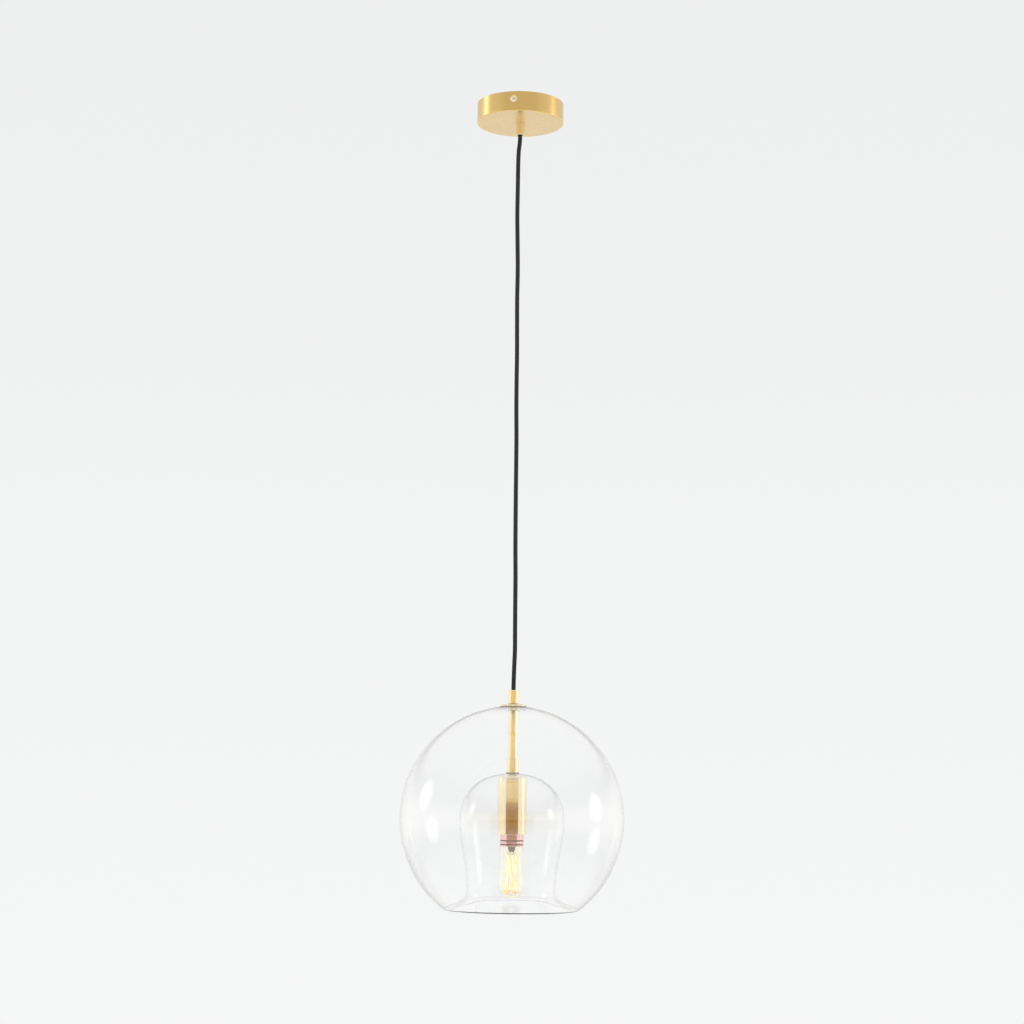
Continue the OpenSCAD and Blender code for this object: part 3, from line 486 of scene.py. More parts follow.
def make_finishes(scene):
    metal, cord = scene.pendant_metal, scene.pendant_cord
    bulb, glass = scene.pendant_bulb, scene.pendant_glass
    FINISHES.update(
        canopy_brass=brass("satin_brass", metal.canopy, 0.22, 1.0, 0.00002, 0.10, 1.0),
        polished_brass=brass("polished_brass", metal.polished, 0.025, 0.35, 0.000002, 0.05, 0.3),
        plated_steel=plated("zinc_plate", metal.steel, 0.34),
        bulb_metal=plated("nickel_plate", metal.nickel, 0.24, 120.0),
        nylon=moulded("white_nylon", (0.80, 0.79, 0.74), 0.42),
        gasket=moulded("silicone_gasket", (0.86, 0.88, 0.86), 0.30),
        rose_collar=rose_plate("rose_plate", bulb.band),
        black_insulator=moulded("black_glass_seal", (0.015, 0.015, 0.018), 0.18),
        textile_cord=braid("textile_braid", cord, False),
        braided_map=braid("textile_braid_wound", cord, True),
        live_core=insulation("brown_core", (0.17, 0.065, 0.028)),
        neutral_core=insulation("blue_core", (0.03, 0.13, 0.42)),
        earth_core=insulation("green_yellow_core", (0.06, 0.30, 0.05), (0.75, 0.62, 0.05)),
        clear_glass=blown_glass("blown_glass", glass.tint, 0.00002, 0.00003),
        bulb_glass=blown_glass("bulb_glass", bulb.tint, 0.00003, 0.0, bulb.halo, bulb.halo_strength),
        filament=glowing("filament_coating", bulb),
        circuit_board=circuit_board("driver_board"),
    )


# --- modelling helpers --------------------------------------------------------------------------


def deselect_all():
    if bpy.context.object and bpy.context.object.mode != "OBJECT":
        bpy.ops.object.mode_set(mode="OBJECT")
    bpy.ops.object.select_all(action="DESELECT")


def pick(piece):
    """Makes a piece the only selected one and the active one."""
    deselect_all()
    piece.select_set(True)
    bpy.context.view_layer.objects.active = piece


def called(piece, name):
    piece.name = piece.data.name = name
    return piece


def smoothed(piece, degrees):
    pick(piece)
    bpy.ops.object.shade_smooth_by_angle(angle=math.radians(degrees))


def first_point(x, z):
    """A new mesh of one vertex, left in edit mode with the vertex selected."""
    deselect_all()
    bpy.ops.mesh.primitive_plane_add(size=MM)
    bpy.ops.object.mode_set(mode="EDIT")
    bpy.ops.mesh.select_all(action="SELECT")
    bpy.ops.mesh.merge(type="CENTER")
    bpy.ops.transform.translate(value=(x, 0.0, z))


def draw_profile(points, closed):
    """Extrudes a chain of edges through (radius, height) points in the XZ plane."""
    first_point(*points[0])
    chain = points[1:] + (points[:1] if closed else [])
    here = points[0]
    for point in chain:
        step = (point[0] - here[0], 0.0, point[1] - here[1])
        bpy.ops.mesh.extrude_vertices_move(TRANSFORM_OT_translate={"value": step})
        here = point


def braced(points, closed):
    """Adds a point near the end of each long run beside a short one, so shading bends only in the corners."""
    outline = []
    count = len(points)
    for i, point in enumerate(points):
        outline.append(point)
        if not closed and i == count - 1:
            break
        here, there = Vector(point), Vector(points[(i + 1) % count])
        run = there - here
        before = (here - Vector(points[i - 1])).length if closed or i > 0 else run.length
        after = (Vector(points[(i + 2) % count]) - there).length if closed or i < count - 2 else run.length
        if run.length > LONG_RUN * before:
            outline.append(tuple(here + run.normalized() * before))
        if run.length > LONG_RUN * after:
            outline.append(tuple(there - run.normalized() * after))
    return outline


def tidy_mesh():
    bpy.ops.mesh.select_all(action="SELECT")
    bpy.ops.mesh.remove_doubles(threshold=WELD)
    bpy.ops.mesh.normals_make_consistent(inside=False)


def turn_profile(name, points, closed=True, steps=96, smooth=35.0):
    """A piece turned on the light's axis from its profile."""
    draw_profile(braced(points, closed), closed)
    bpy.ops.mesh.select_all(action="SELECT")
    bpy.ops.mesh.spin(steps=steps, angle=2 * math.pi, center=(0, 0, 0), axis=(0, 0, 1))
    tidy_mesh()
    smoothed(bpy.context.object, smooth)
    return called(bpy.context.object, name)


def rounded(points, radii, steps=4):
    """A closed outline with its corners rounded; a corner of radius 0 stays sharp."""
    outline = []
    count = len(points)
    for i, (point, radius) in enumerate(zip(points, radii)):
        here = Vector(point)
        to_last = Vector(points[i - 1]) - here
        to_next = Vector(points[(i + 1) % count]) - here
        if radius <= 0:
            outline.append(tuple(here))
            continue
        half = to_last.angle(to_next) / 2
        reach = min(radius / math.tan(half), to_last.length * 0.49, to_next.length * 0.49)
        start = here + to_last.normalized() * reach
        end = here + to_next.normalized() * reach
        for k in range(steps + 1):
            t = k / steps
            outline.append(tuple(start * (1 - t) ** 2 + here * (2 * t * (1 - t)) + end * t * t))
    return outline


def arc(centre, radius, start, end, steps):
    """Points of an arc in the profile's plane, angles in degrees."""
    spots = []
    for i in range(steps + 1):
        a = math.radians(start + (end - start) * i / steps)
        spots.append((centre[0] + radius * math.cos(a), centre[1] + radius * math.sin(a)))
    return spots


def bezier_run(a, b, c, d, steps):
    """Points of a cubic curve without its first point."""
    a, b, c, d = (Vector(p) for p in (a, b, c, d))
    run = []
    for i in range(1, steps + 1):
        t = i / steps
        s = 1 - t
        run.append(tuple(a * s**3 + b * (3 * s * s * t) + c * (3 * s * t * t) + d * t**3))
    return run


def smooth_path(points, steps):
    """Rounded path through points, with the given number of steps in each span."""
    points = [Vector(p) for p in points]
    last = len(points) - 1
    path = [points[0]]
    for i in range(last):
        a, b, c, d = points[max(i - 1, 0)], points[i], points[i + 1], points[min(i + 2, last)]
        for k in range(1, steps + 1):
            t = k / steps
            path.append(
                0.5 * (2 * b + (c - a) * t + (2 * a - 5 * b + 4 * c - d) * t * t
                    + (3 * b - a - 3 * c + d) * t**3)
            )
    return path


def wire(name, points, radius, sides=12):
    """A round wire with closed ends along points."""
    deselect_all()
    bpy.ops.curve.primitive_bezier_curve_add(radius=MM)
    bar = bpy.context.object
    curve = bar.data
    curve.splines.clear()
    spline = curve.splines.new("POLY")
    spline.points.add(len(points) - 1)
    for spot, place in zip(spline.points, points):
        spot.co = (*place, 1.0)
    curve.dimensions = "3D"
    curve.bevel_depth = radius
    curve.bevel_resolution = max(1, sides // 4)
    curve.use_fill_caps = True
    bpy.ops.object.convert(target="MESH")
    bpy.ops.object.mode_set(mode="EDIT")
    tidy_mesh()
    smoothed(bpy.context.object, 50)
    return called(bpy.context.object, name)


def settle(piece, matrix):
    """Turns and moves a piece's mesh, so that its object stays at the origin."""
    pick(piece)
    piece.matrix_world = matrix
    bpy.ops.object.transform_apply(location=True, rotation=True, scale=True)


def copy_of(piece, name):
    twin = piece.copy()
    twin.data = piece.data.copy()
    bpy.context.collection.objects.link(twin)
    return called(twin, name)


def join_pieces(name, pieces):
    deselect_all()
    for piece in pieces:
        piece.select_set(True)
    bpy.context.view_layer.objects.active = pieces[0]
    bpy.ops.object.join()
    return called(bpy.context.object, name)


def cut_away(piece, cutters):
    """Cuts shapes out of a piece with Boolean modifiers and deletes them."""
    for cutter in cutters:
        pick(piece)
        tool = piece.modifiers.new("cut", "BOOLEAN")
        tool.operation = "DIFFERENCE"
        tool.object = cutter
        tool.solver = "EXACT"
        bpy.ops.object.modifier_apply(modifier="cut")
        bpy.data.objects.remove(cutter)


def block(size, centre):
    deselect_all()
    bpy.ops.mesh.primitive_cube_add(size=1.0, location=centre)
    cube = bpy.context.object
    cube.scale = size
    bpy.ops.object.transform_apply(location=True, rotation=False, scale=True)
    return cube


def rod_cutter(radius, depth, centre):
    """A cylinder along Y that cuts a side hole."""
    deselect_all()
    bpy.ops.mesh.primitive_cylinder_add(vertices=48, radius=radius, depth=depth, location=centre)
    rod = bpy.context.object
    rod.rotation_euler = (math.pi / 2, 0, 0)
    bpy.ops.object.transform_apply(location=True, rotation=True, scale=True)
    return rod


def assemble(piece, body, slot, replaced=(), finish=None):
    """Gives a piece the finish named by its slot, or by finish when that is given, hangs it on the body that
    it rides on, and hides the CAD nodes that it stands for.
    """
    piece.data.materials.clear()
    piece.data.materials.append(FINISHES[finish or slot])
    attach(piece, body)
    if replaced:
        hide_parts(*replaced)
    return piece


# --- cord ---------------------------------------------------------------------------------------

CORD_TOP = foot_of("grip_sleeve")
CORD_FREE = CORD_TOP - top_of("top_cap")
# how far the free cord lies to the side, in millimetres, at each share of the way down in per cent
CORD_ROUTE = [
    (0, 0), (-0.2, 1), (-0.9, 2), (-1.7, 3), (-2.2, 5), (-2.3, 7), (-2.4, 10), (-2.6, 15), (-1.8, 20),
    (-1.1, 25), (-1.4, 30), (-1.1, 35), (-0.7, 40), (-0.8, 45), (-0.7, 50), (-0.1, 55), (0, 60), (0, 65),
    (0.1, 70), (0.3, 75), (0.9, 80), (1, 85), (1.2, 90), (1.3, 93), (0.6, 96), (0.1, 98.5), (0, 100),
]
CELL_SAMPLES = 4
END_ANGLES = (18, 42, 66)


def braid_pitch(look):
    """Height of one strand's cell, as tall as it is wide."""
    return math.pi * look.diameter / look.strands


def strand_rise(around, along):
    """Height of the braid's surface from 0 to 1 at a place counted in strand cells."""
    right, left = (around + along) / 2, (around - along) / 2
    over = (math.floor(right) + math.floor(left)) % 2
    across, lie = ((right, left), (left, right))[over]
    return math.sin(math.pi * (across % 1)) * math.sin(math.pi * (lie % 1)) ** 0.4


def braided_tube(name, path, look):
    """Tube along a path whose surface carries the braid's strands, with a map that counts its cells."""
    radius = look.diameter / 2
    sides = look.strands * CELL_SAMPLES
    spacing = braid_pitch(look) / CELL_SAMPLES
    fine = [path[0]]
    for spot in path[1:]:
        gap = spot - fine[-1]
        while gap.length >= spacing:
            fine.append(fine[-1] + gap.normalized() * spacing)
            gap = spot - fine[-1]
    rounds = [(radius * math.cos(math.radians(a)), radius * math.sin(math.radians(a))) for a in END_ANGLES]
    rings = [(path[0] + Vector((0, 0, rise)), reach) for rise, reach in rounds]
    rings += [(spot, radius) for spot in fine]
    rings += [(path[-1] - Vector((0, 0, rise)), reach) for rise, reach in reversed(rounds)]
    vertices, maps = [], []
    side = Vector((0, 1, 0))
    for row, (centre, reach) in enumerate(rings):
        after = rings[min(row + 1, len(rings) - 1)][0]
        before = rings[max(row - 1, 0)][0]
        way = (after - before).normalized()
        out = side.cross(way).normalized()
        up = way.cross(out)
        along = row / CELL_SAMPLES
        for k in range(sides):
            a = 2 * math.pi * k / sides
            rise = strand_rise(k / CELL_SAMPLES, along) if reach == radius else 0
            r = reach - look.relief * (1 - rise)
            vertices.append(centre + r * (math.cos(a) * out + math.sin(a) * up))
        maps.append(along)
    faces = [tuple(range(sides - 1, -1, -1))]
    for row in range(len(rings) - 1):
        for k in range(sides):
            a, b = row * sides + k, row * sides + (k + 1) % sides
            faces.append((a, b, b + sides, a + sides))
    faces.append(tuple((len(rings) - 1) * sides + k for k in range(sides)))
    mesh = bpy.data.meshes.new(name)
    mesh.from_pydata(vertices, [], faces)
    layer = mesh.uv_layers.new(name="braid")
    for face in mesh.polygons:
        across = [mesh.loops[i].vertex_index % sides for i in face.loop_indices]
        wraps = max(across) == sides - 1 and min(across) == 0 and len(across) == 4
        for i, k in zip(face.loop_indices, across):
            row = mesh.loops[i].vertex_index // sides
            k = sides if wraps and k == 0 else k
            layer.data[i].uv = (k / CELL_SAMPLES / 2, maps[row] / 2)
        face.use_smooth = True
    mesh.validate()
    piece = bpy.data.objects.new(name, mesh)
    bpy.context.collection.objects.link(piece)
    pick(piece)
    bpy.ops.object.mode_set(mode="EDIT")
    bpy.ops.mesh.select_all(action="SELECT")
    bpy.ops.mesh.normals_make_consistent(inside=False)
    bpy.ops.object.mode_set(mode="OBJECT")
    return piece


class PENDANT_OT_cord(bpy.types.Operator):
    """Braided cord from the grip under the canopy to the cap on the shade"""

    bl_idname = "pendant.cord"
    bl_label = "Cord"

    def execute(self, context):
        look = context.scene.pendant_cord
        points = [(x * MM, 0.0, CORD_TOP - CORD_FREE * share / 100) for x, share in CORD_ROUTE]
        path = smooth_path(points, 8)
        piece = braided_tube("braided_cord", path, look)
        assemble(piece, "hanging_cord", "textile_cord", ["cord"], "braided_map")
        return {"FINISHED"}


# --- canopy and wiring --------------------------------------------------------------------------


def screw_head(name, radius, height, shank, reach):
    """Domed head with a cross slot, its seat at z = 0, and a shank below it."""
    ball = (radius * radius + height * height) / (2 * height)
    edge = math.degrees(math.asin(radius / ball))
    dome = arc((0, height - ball), ball, 90, 90 - edge + 4, 12)
    outline = dome + [(radius, 0.00025), (radius - 0.0001, 0.0), (shank, 0.0), (shank, -reach), (0.0, -reach)]
    piece = turn_profile(name, outline, closed=False, steps=48)
    slots = []
    for along, across in ((1.2, 0.2), (0.2, 1.2)):
        slots.append(block((radius * along, radius * across, height), (0, 0, height * 1.06)))
    cut_away(piece, slots)
    return piece


class PENDANT_OT_canopy(bpy.types.Operator):
    """Drum canopy with its rolled edges and the two side screws"""

    bl_idname = "pendant.canopy"
    bl_label = "Canopy"

    def execute(self, context):
        lo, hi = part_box("canopy")
        radius, foot = hi.x, lo.z
        wall, edge, rim, bevel = 1.0 * MM, 1.5 * MM, 0.35 * MM, 0.1 * MM
        outline = [(ROD_HOLE, foot + wall), (ROD_HOLE + bevel, foot)]
        outline += arc((radius - edge, foot + edge), edge, -90, 0, 8)
        outline += arc((radius - rim, -rim), rim, 0, 90, 4)
        outline += [(radius - wall, 0.0)]
        outline += arc((radius - edge, foot + edge), edge - wall, 0, -90, 4)
        drum = turn_profile("canopy_drum", outline, steps=160)
        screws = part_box("canopy_screws")
        height = (screws[0].z + screws[1].z) / 2
        head_radius = (screws[1].z - screws[0].z) / 2
        hole_radius, depth, shank, shank_length = 2.3 * MM, 10 * MM, 2 * MM, 6.5 * MM
        cut_away(drum, [rod_cutter(hole_radius, depth, (0, side * radius, height)) for side in (-1, 1)])
        smoothed(drum, 35)
        assemble(drum, "ceiling_mount", "canopy_brass", ["canopy"])

        head_height = -screws[0].y - radius
        screw = screw_head("side_screw_front", head_radius, head_height, shank, shank_length)
        twin = copy_of(screw, "side_screw_back")
        for piece, turn in ((screw, 0.0), (twin, math.pi)):
            stand = Matrix.Rotation(math.pi / 2, 4, "X")
            out = Matrix.Translation((0, -radius, height))
            settle(piece, Matrix.Rotation(turn, 4, "Z") @ out @ stand)
            assemble(piece, "ceiling_mount", "polished_brass")
        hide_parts("canopy_screws")
        return {"FINISHED"}


def finish_node(node, finish):
    """Gives a CAD node that stays in view a detailed finish."""
    shown = frame["nodes"][node]
    if not shown.material_slots:
        shown.data.materials.append(FINISHES[finish])
    for place in shown.material_slots:
        place.material = FINISHES[finish]


class PENDANT_OT_fittings(bpy.types.Operator):
    """Finishes of the frame's own pieces: bracket, block, screws, nuts, rod and contacts"""

    bl_idname = "pendant.fittings"
    bl_label = "Fittings"

    def execute(self, context):
        slots = {row["node"]: row["material_slot"] for row in frame["record"]["subparts"]}
        for node in frame["nodes"]:
            finish_node(node, slots[node])
        return {"FINISHED"}


CORE_RADIUS = 1.05 * MM
CORE_ORBIT = 1.35 * MM  # distance of the cores from the cord's middle
CORE_LEAD = 6 * MM  # straight run before a clamp
CLAMP_LIP = 1.5 * MM
TAG_BARREL = 1.78 * MM  # height of the barrel's middle above the tag's foot


def core_path(azimuth, mouth, way, tail, rise):
    """Route of a core from the cord's head up and into a clamp's mouth, forwards or back along Y."""
    a = math.radians(azimuth)
    start = Vector((CORE_ORBIT * math.cos(a), CORE_ORBIT * math.sin(a), top_of("cord_head")))
    lift = Vector((0, 0, (mouth.z - start.z) * rise))
    run = bezier_run(start, start + lift, mouth - Vector((0, way * CORE_LEAD, 0)), mouth, 16)
    return [tuple(start)] + run + [tuple(mouth + Vector((0, way * tail, 0)))]


class PENDANT_OT_wiring(bpy.types.Operator):
    """Cores from the cord's head to the terminal block and to the earth tag"""

    bl_idname = "pendant.wiring"
    bl_label = "Wiring"

    def execute(self, context):
        lo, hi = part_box("terminal_block")
        pole_y, pole_z = lo.y - CLAMP_LIP, (lo.z + hi.z - 0.02 * MM) / 2
        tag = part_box("earth_tag")
        barrel = Vector((0, tag[1].y + 1.0 * MM, tag[0].z + TAG_BARREL))
        for core, azimuth, mouth, way, tail, rise in (
            ("core_live", 150, Vector((-hi.x / 2, pole_y, pole_z)), 1, 5.5 * MM, 0.9),
            ("core_neutral", 30, Vector((hi.x / 2, pole_y, pole_z)), 1, 5.5 * MM, 0.9),
            ("core_earth", -90, barrel, -1, 5.0 * MM, 0.7),
        ):
            path = core_path(azimuth, mouth, way, tail, rise)
            slot = core.replace("core_", "") + "_core"
            assemble(wire("insulated_" + core, path, CORE_RADIUS, 20), "ceiling_mount", slot, [core])
        return {"FINISHED"}


# --- brass fittings on the cord -----------------------------------------------------------------


def turned(name, node, outline, radii, body, slot="polished_brass"):
    """A turned piece that stands for one CAD node, with softened edges."""
    assemble(turn_profile(name, rounded(outline, radii)), body, slot, [node])


class PENDANT_OT_grip(bpy.types.Operator):
    """Cord grip under the canopy"""

    bl_idname = "pendant.grip"
    bl_label = "Cord grip"

    def execute(self, context):
        lo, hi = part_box("grip_sleeve")
        r, top, foot = hi.x, hi.z, lo.z
        bevel, soft, collet, taper = 0.6 * MM, 0.15 * MM, foot + 4.6 * MM, 1.2 * MM
        outline = [
            (THREAD_BORE, top), (r, top), (r, foot + bevel), (r - bevel, foot), (CORD_BORE + bevel, foot),
            (CORD_BORE, foot + bevel), (CORD_BORE, collet), (THREAD_BORE, collet + taper),
        ]
        turned("grip_sleeve_turned", "grip_sleeve", outline, [0] + [soft] * 5 + [0, 0], "ceiling_mount")
        return {"FINISHED"}


class PENDANT_OT_stem(bpy.types.Operator):
    """Cap, dished flange, clear washer, stem tube, collar and the bell's washers"""

    bl_idname = "pendant.stem"
    bl_label = "Stem"

    def execute(self, context):
        lo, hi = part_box("top_cap")
        r, top, foot = hi.x, hi.z, lo.z
        bevel, flare, seat, taper = 1.0 * MM, 0.4 * MM, top - 4.4 * MM, 1.0 * MM
        outline = [
            (CORD_BORE + flare, top), (r - bevel, top), (r, top - bevel), (r, foot), (THREAD_BORE, foot),
            (THREAD_BORE, seat - taper), (CORD_BORE, seat), (CORD_BORE, top - flare),
        ]
        radii = [0.1 * MM, 0.3 * MM, 0.3 * MM, 0.2 * MM, 0, 0, 0, 0.1 * MM]
        turned("cap_turned", "top_cap", outline, radii, "pendant")
        self.flange()
        for name, node, slot, soft in (
            ("stem_tube_turned", "stem_tube", "polished_brass", 0.1 * MM),
            ("stem_collar_turned", "stem_collar", "polished_brass", 0.5 * MM),
            ("bell_washer_upper", "bell_gasket_top", "gasket", 0.3 * MM),
            ("bell_washer_lower", "bell_gasket_bottom", "gasket", 0.3 * MM),
        ):
            lo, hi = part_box(node)
            outline = [(STEM_BORE, hi.z), (hi.x, hi.z), (hi.x, lo.z), (STEM_BORE, lo.z)]
            turned(name, node, outline, [0, soft, soft, 0], "pendant", slot)
        return {"FINISHED"}

    def flange(self):
        """Dished disc with a rolled rim, and the clear washer between it and the globe."""
        reach, crown = radius_of("flange_disc"), top_of("flange_disc")
        thick, drop, gap, slim = 1.2 * MM, 3.0 * MM, 0.06 * MM, 0.35 * MM

        def dish(s):
            return crown - drop * (s / reach) ** 2 + drop * (ROD_HOLE / reach) ** 2

        spots = [ROD_HOLE + (reach - ROD_HOLE) * i / 16 for i in range(17)]
        face = [(s, dish(s)) for s in spots]
        back = [(s, z - thick) for s, z in reversed(face)]
        edge = face[-1]
        rim = [(edge[0] - slim, edge[1] + 0.1 * MM), (edge[0], edge[1] - 0.4 * MM)]
        outline = face[:-1] + rim + [(back[0][0] - 0.2 * MM, back[0][1])] + back[1:]
        disc = turn_profile("dished_flange", outline, steps=128)
        assemble(disc, "pendant", "polished_brass", ["flange_disc"])

        inner, outer = 10 * MM, radius_of("neck_gasket")
        spots = [inner + (outer - inner) * i / 6 for i in range(7)]
        centre = crown - FLANGE_TO_POLE - GLOBE_RADIUS
        outline = [(s, dish(s) - thick - gap) for s in spots]
        outline += [(s, centre + math.sqrt(GLOBE_RADIUS**2 - s * s) + gap) for s in reversed(spots)]
        assemble(turn_profile("clear_neck_washer", outline), "pendant", "gasket", ["neck_gasket"])


# --- glass shade --------------------------------------------------------------------------------

FLARE_TILT = math.radians(22)


def beside(line, offset):
    """A profile line moved to its left by an offset; the last point moves straight up or down."""
    moved = []
    for i, spot in enumerate(line):
        before, after = Vector(line[max(i - 1, 0)]), Vector(line[min(i + 1, len(line) - 1)])
        way = (after - before).normalized()
        if i == len(line) - 1:
            moved.append((spot[0], spot[1] - offset))
        else:
            moved.append((spot[0] - way.y * offset, spot[1] + way.x * offset))
    return moved


def bell_line(glass, lip_z, fold_z):
    """Centre line of the bell's wall from the fold at the lip to the hole in its top."""
    half = glass.wall / 2
    reach = glass.lip - half
    start = Vector((glass.mouth - reach * math.sin(FLARE_TILT), fold_z - reach * math.cos(FLARE_TILT)))
    waist = Vector((glass.waist - half, lip_z + glass.waist_rise))
    belly = Vector((glass.belly - half, lip_z + glass.belly_rise))
    top = Vector((glass.bell_hole, lip_z + glass.bell_height - half))
    flare = 0.62 * (start.x - waist.x)
    rise = 0.5 * (waist.y - start.y)
    swell = 0.4 * (belly.y - waist.y)
    crown = 0.6 * (top.y - belly.y)
    shoulder = 0.6 * (belly.x - top.x)
    out = Vector((-math.cos(FLARE_TILT), math.sin(FLARE_TILT))) * flare
    line = [tuple(start)]
    line += bezier_run(start, start + out, waist - Vector((0, rise)), waist, 16)
    line += bezier_run(waist, waist + Vector((0, swell)), belly - Vector((0, swell)), belly, 18)
    line += bezier_run(belly, belly + Vector((0, crown)), top + Vector((shoulder, 0)), top, 28)
    return line


class PENDANT_OT_shade(bpy.types.Operator):
    """Clear glass globe, folded at its mouth into the inner bell"""

    bl_idname = "pendant.shade"
    bl_label = "Glass shade"

    def execute(self, context):
        glass = context.scene.pendant_glass
        big = radius_of("glass_globe")
        centre = top_of("glass_globe") - math.sqrt(big**2 - glass.pole_hole**2)
        tilt = math.degrees(math.asin(glass.mouth / (big - glass.lip)))
        fold = (glass.mouth, centre - (big - glass.lip) * math.cos(math.radians(tilt)))
        lip_z = fold[1] - glass.lip
        first = math.degrees(math.asin(glass.pole_hole / big))
        last = 180 - tilt
        turns = [math.radians(first + (last - first) * i / 90) for i in range(91)]

        def wall_at(turn):
            s = big * math.sin(turn)
            extra = glass.ring_extra * (1 + math.cos(math.pi * s / glass.ring_reach)) / 2
            return glass.wall + (extra if s < glass.ring_reach else 0.0)

        def globe_spot(turn, depth):
            return ((big - depth) * math.sin(turn), centre + (big - depth) * math.cos(turn))

        half = glass.wall / 2
        line = bell_line(glass, lip_z, fold[1])
        room_side = beside(line, half)[1:]
        cavity_side = beside(line, -half)[1:]
        outer = [globe_spot(turn, 0.0) for turn in turns]
        outer += arc(fold, glass.lip, tilt - 90, -90 - math.degrees(FLARE_TILT), 16)[1:]
        inner = [(glass.pole_hole, globe_spot(turns[0], wall_at(turns[0]))[1])]
        inner += [globe_spot(t, wall_at(t)) for t in turns
                  if (big - wall_at(t)) * math.sin(t) > glass.pole_hole + 0.4 * MM]
        inner += arc(fold, glass.lip - glass.wall, tilt - 90, -90 - math.degrees(FLARE_TILT), 10)[1:]
        outline = outer + room_side + cavity_side[::-1] + inner[::-1]
        shade = turn_profile("blown_shade", outline, steps=180, smooth=60)
        assemble(shade, "pendant", "clear_glass", ["glass_globe", "glass_bell"])
        return {"FINISHED"}


# --- lamp cup and lampholder --------------------------------------------------------------------


class PENDANT_OT_cup(bpy.types.Operator):
    """Lamp cup, spun with a rounded shoulder and a thin wall"""

    bl_idname = "pendant.cup"
    bl_label = "Lamp cup"

    def execute(self, context):
        lo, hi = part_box("lamp_cup")
        r, top, foot = hi.x, hi.z, lo.z
        wall, shoulder, top_wall, rim = 1.0 * MM, 2.5 * MM, 1.5 * MM, 0.3 * MM
        outline = [(ROD_HOLE, top)]
        outline += arc((r - shoulder, top - shoulder), shoulder, 90, 0, 10)
        outline += arc((r - rim, foot + rim), rim, 0, -90, 4)
        outline += arc((r - wall + rim, foot + rim), rim, -90, -180, 4)
        outline += arc((r - shoulder, top - top_wall - shoulder + wall), shoulder - wall, 0, 90, 6)
        outline += [(ROD_HOLE, top - top_wall)]
        assemble(turn_profile("lamp_cup_spun", outline, steps=128), "pendant", "polished_brass", ["lamp_cup"])
        return {"FINISHED"}


# --- bulb ---------------------------------------------------------------------------------------


NECK_IN_BAND = 9 * MM  # how far the envelope reaches into the band


def bulb_line(look, depth, neck_z, centre_z):
    """Outline of the envelope at a depth below its outer face, from its neck to its end."""
    neck = Vector((look.neck - depth, neck_z))
    r = radius_of("bulb_glass") - depth
    join = Vector((r, centre_z))
    lead = Vector((0, (neck.y - join.y) / 3))
    line = [(neck.x, neck.y + NECK_IN_BAND), tuple(neck)]
    line += bezier_run(neck, neck - lead, join + lead, join, 14)
    line += arc((0.0, centre_z), r, -3, -90, 28)
    return line


